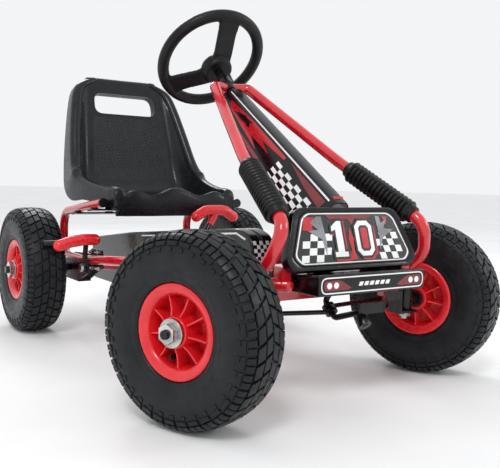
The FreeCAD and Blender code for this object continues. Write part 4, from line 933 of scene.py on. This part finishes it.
def build_guard():
    outline = rounded(GUARD_OUTLINE, 16, 8)
    upright = Matrix(((0, 0, 1, 0), (1, 0, 0, 0), (0, 1, 0, 0), (0, 0, 0, 1)))
    for half_name, low, high in (("outer", -74, -52.4), ("inner", -51.6, -30)):
        piece = mesh_piece("look_guard_" + half_name, *moved(prism(outline, low, high), upright), BLACK_GLOSS)
        add_bevel(piece, 4.0 if half_name == "outer" else 3.0, 4, 50)
        finish_piece(piece, "chassis", ["chain_guard_" + half_name], 35)
    nose = sorted((z, y) for y, z in outline if y < -234 and 160 < z < 240)

    def on_nose(u, v, lift):
        for (z0, y0), (z1, y1) in zip(nose, nose[1:]):
            if z0 <= v <= z1:
                return Vector((u, y0 + (y1 - y0) * (v - z0) / (z1 - z0) - lift, v))
        raise ValueError("print runs off the guard's nose")
    prints("print_guard_nose", checker(-70, 174, 6.1, 6.1, 6, 9), on_nose, PRINT_WHITE)
    for side, face_x in ((-1, -74), (1, -30)):
        def mapping(u, v, lift):
            return Vector((face_x + side * lift, u, v))
        prints("print_guard_checks_%d" % (face_x + 100), checker(-196, 196, 11, 9, 8, 3, 3), mapping, PRINT_WHITE)
        prints("print_guard_lines_%d" % (face_x + 100), [[(-228, 232), (-200, 240), (160, 209.5), (160, 207), (-200, 237), (-226, 229)],
                                                        [(-228, 176), (-206, 158), (-100, 150), (-100, 148), (-208, 155), (-231, 174)]],
               mapping, PRINT_WHITE)
        prints("print_guard_red_%d" % (face_x + 100), [[(-96, 224), (60, 210), (20, 196), (-40, 203), (-92, 214)]], mapping, PRINT_RED)


build_guard()


# ---- grips, pedals --------------------------------------------------------------------------

def build_grips():
    line = bend_path([(-236, 191, 190), (-214, 191, 196.5), (-186, 191, 200.5), (-163, 191, 200)], [40, 40])
    bar = sweep(line, 11.5, 32, round_start=True, round_end=True)
    stem = sweep([(-200, 191, 198), (-200, 205, 194.5)], 7.4, 32)
    piece = mesh_piece("look_brake_grip", *join([bar, stem]), RED_PLASTIC)
    add_bevel(piece, 3.0, 4, 60)
    finish_piece(piece, "brake", ["brake_grip"], 50)
    line = bend_path([(25, 110, 249), (48, 110, 262), (92, 110, 262), (114, 110, 248)], [30, 30])
    bar = sweep(line, 11, 32, round_start=True, round_end=True)
    direction = (Vector((67, 110, 250)) - Vector((40, 110, 200))).normalized()
    top = Vector((67, 110, 250))
    stem_parts = [bar]
    for index in range(5):
        start = top - direction * (18 - index * 4)
        stem_parts.append(sweep([start, start + direction * 3.4], 8.2 - 0.25 * (4 - index), 28))
    stem_parts.append(sweep([top - direction * 20, top + direction * 10], 7, 28))
    piece = mesh_piece("look_drive_grip", *join(stem_parts), RED_PLASTIC)
    add_bevel(piece, 1.2, 3, 60)
    finish_piece(piece, "drive", ["drive_lever_grip"], 50)


def build_pedals():
    turn = math.radians(35)
    reach = Vector((0, -85 * math.cos(turn), 85 * math.sin(turn)))
    for side_name, side in SIDES:
        centre = Vector(CRANK) + reach * side + X_AXIS * side * 110
        parts = [block((-24, 24), (-27, 27), (-7, 7)), block((-24, 24), (-31, -22), (-11, 11)), block((-24, 24), (22, 31), (-11, 11)),
                 block((-24, -17), (-31, 31), (-10, 10)), block((17, 24), (-31, 31), (-10, 10)),
                 block((-4, 4), (-28, 28), (-9.5, 9.5))]
        parts.append(rod((-24, 0, 0), (24, 0, 0), 10.4))
        piece = mesh_piece("look_pedal_" + side_name, *join(parts), BLACK_MATTE, place_matrix(centre))
        add_bevel(piece, 1.4, 3, 50)
        finish_piece(piece, "pedal_" + side_name, ["pedal_" + side_name], 45)


build_grips()
build_pedals()

for node_name, material in (
        ("front_beam", RED_PAINT), ("head_tube", BLACK_PAINT), ("centre_tube", RED_PAINT), ("rear_cross_tube", RED_PAINT),
        ("front_bracket", RED_PAINT), ("axle_yoke_left", BLACK_PAINT), ("axle_yoke_right", BLACK_PAINT),
        ("column_lower_bracket", BLACK_PAINT), ("rear_axle_bracket_left", BLACK_PAINT),
        ("rear_axle_bracket_right", BLACK_PAINT), ("seat_brackets", BLACK_PAINT), ("kingpins", ZINC), ("frame_bolts", ZINC),
        ("frame_bushes", BLACK_MATTE), ("tube_end_plugs", BLACK_GLOSS), ("steering_column", BLACK_PAINT),
        ("steering_knuckle_left", BLACK_PAINT), ("steering_knuckle_right", BLACK_PAINT), ("hub_nut_front_left", ZINC),
        ("hub_nut_front_right", ZINC), ("tie_rod_left", BLACK_PAINT), ("tie_rod_right", BLACK_PAINT), ("wheel_bushes_left", BLACK_MATTE),
        ("wheel_bushes_right", BLACK_MATTE), ("rear_axle", BLACK_PAINT), ("rear_hub_nuts", ZINC), ("rear_sprocket", STEEL),
        ("pedal_crank", ZINC), ("front_sprocket", STEEL), ("brake_lever", BLACK_PAINT), ("drive_lever", BLACK_PAINT),
        ("drive_chain", STEEL)):
    polish(node_name, material)


# ---- floor, light and camera ----------------------------------------------------------------

def build_stage():
    material, tree, shader = new_material("floor_white", 0.75, specular=0.1)
    tint(tree, shader, noise(tree, 3), (0.86, 0.86, 0.86), (0.9, 0.9, 0.9))
    mesh = bpy.data.meshes.new("floor")
    mesh.from_pydata([(-30, -30, 0), (30, -30, 0), (30, 30, 0), (-30, 30, 0)], [], [(0, 1, 2, 3)])
    mesh.materials.append(material)
    floor = bpy.data.objects.new("floor", mesh)
    bpy.context.scene.collection.objects.link(floor)
    world = bpy.data.worlds.new("studio")
    bpy.context.scene.world = world
    world.use_nodes = True
    background = world.node_tree.nodes["Background"]
    background.inputs["Color"].default_value = (0.97, 0.985, 1.0, 1)
    background.inputs["Strength"].default_value = 0.92
    bpy.context.scene.view_settings.view_transform = "Standard"
    for name, where, aim, size, power in (("key", (-1.6, -1.9, 2.6), (0, 0, 0.3), 0.8, 34), ("fill", (2.4, -1.6, 1.5), (0, 0, 0.3), 0.7, 12),
                                          ("back", (0.4, 2.4, 2.2), (0, 0.1, 0.4), 0.9, 24)):
        lamp_data = bpy.data.lights.new(name, "AREA")
        lamp_data.energy = power
        lamp_data.size = size
        lamp = bpy.data.objects.new(name, lamp_data)
        lamp.location = where
        lamp.rotation_euler = (Vector(aim) - Vector(where)).to_track_quat("-Z", "Y").to_euler()
        bpy.context.scene.collection.objects.link(lamp)


def build_camera():
    yaw, pitch, roll = math.radians(33.691), math.radians(-4.126), math.radians(1.211)
    forward = Vector((math.sin(yaw) * math.cos(pitch), math.cos(yaw) * math.cos(pitch), math.sin(pitch)))
    right = Vector((math.cos(yaw), -math.sin(yaw), 0))
    up = right.cross(forward)
    turned_right = right * math.cos(roll) + up * math.sin(roll)
    turned_up = up * math.cos(roll) - right * math.sin(roll)
    data = bpy.data.cameras.new("camera")
    data.sensor_width = 36
    data.lens = 50.15
    data.clip_start = 0.05
    data.clip_end = 80
    camera = bpy.data.objects.new("camera", data)
    basis = Matrix((turned_right, turned_up, -forward)).transposed().to_4x4()
    camera.matrix_world = Matrix.Translation(place(-679.03, -1147.24, 318.93)) @ basis
    bpy.context.scene.collection.objects.link(camera)
    bpy.context.scene.camera = camera


build_stage()
build_camera()
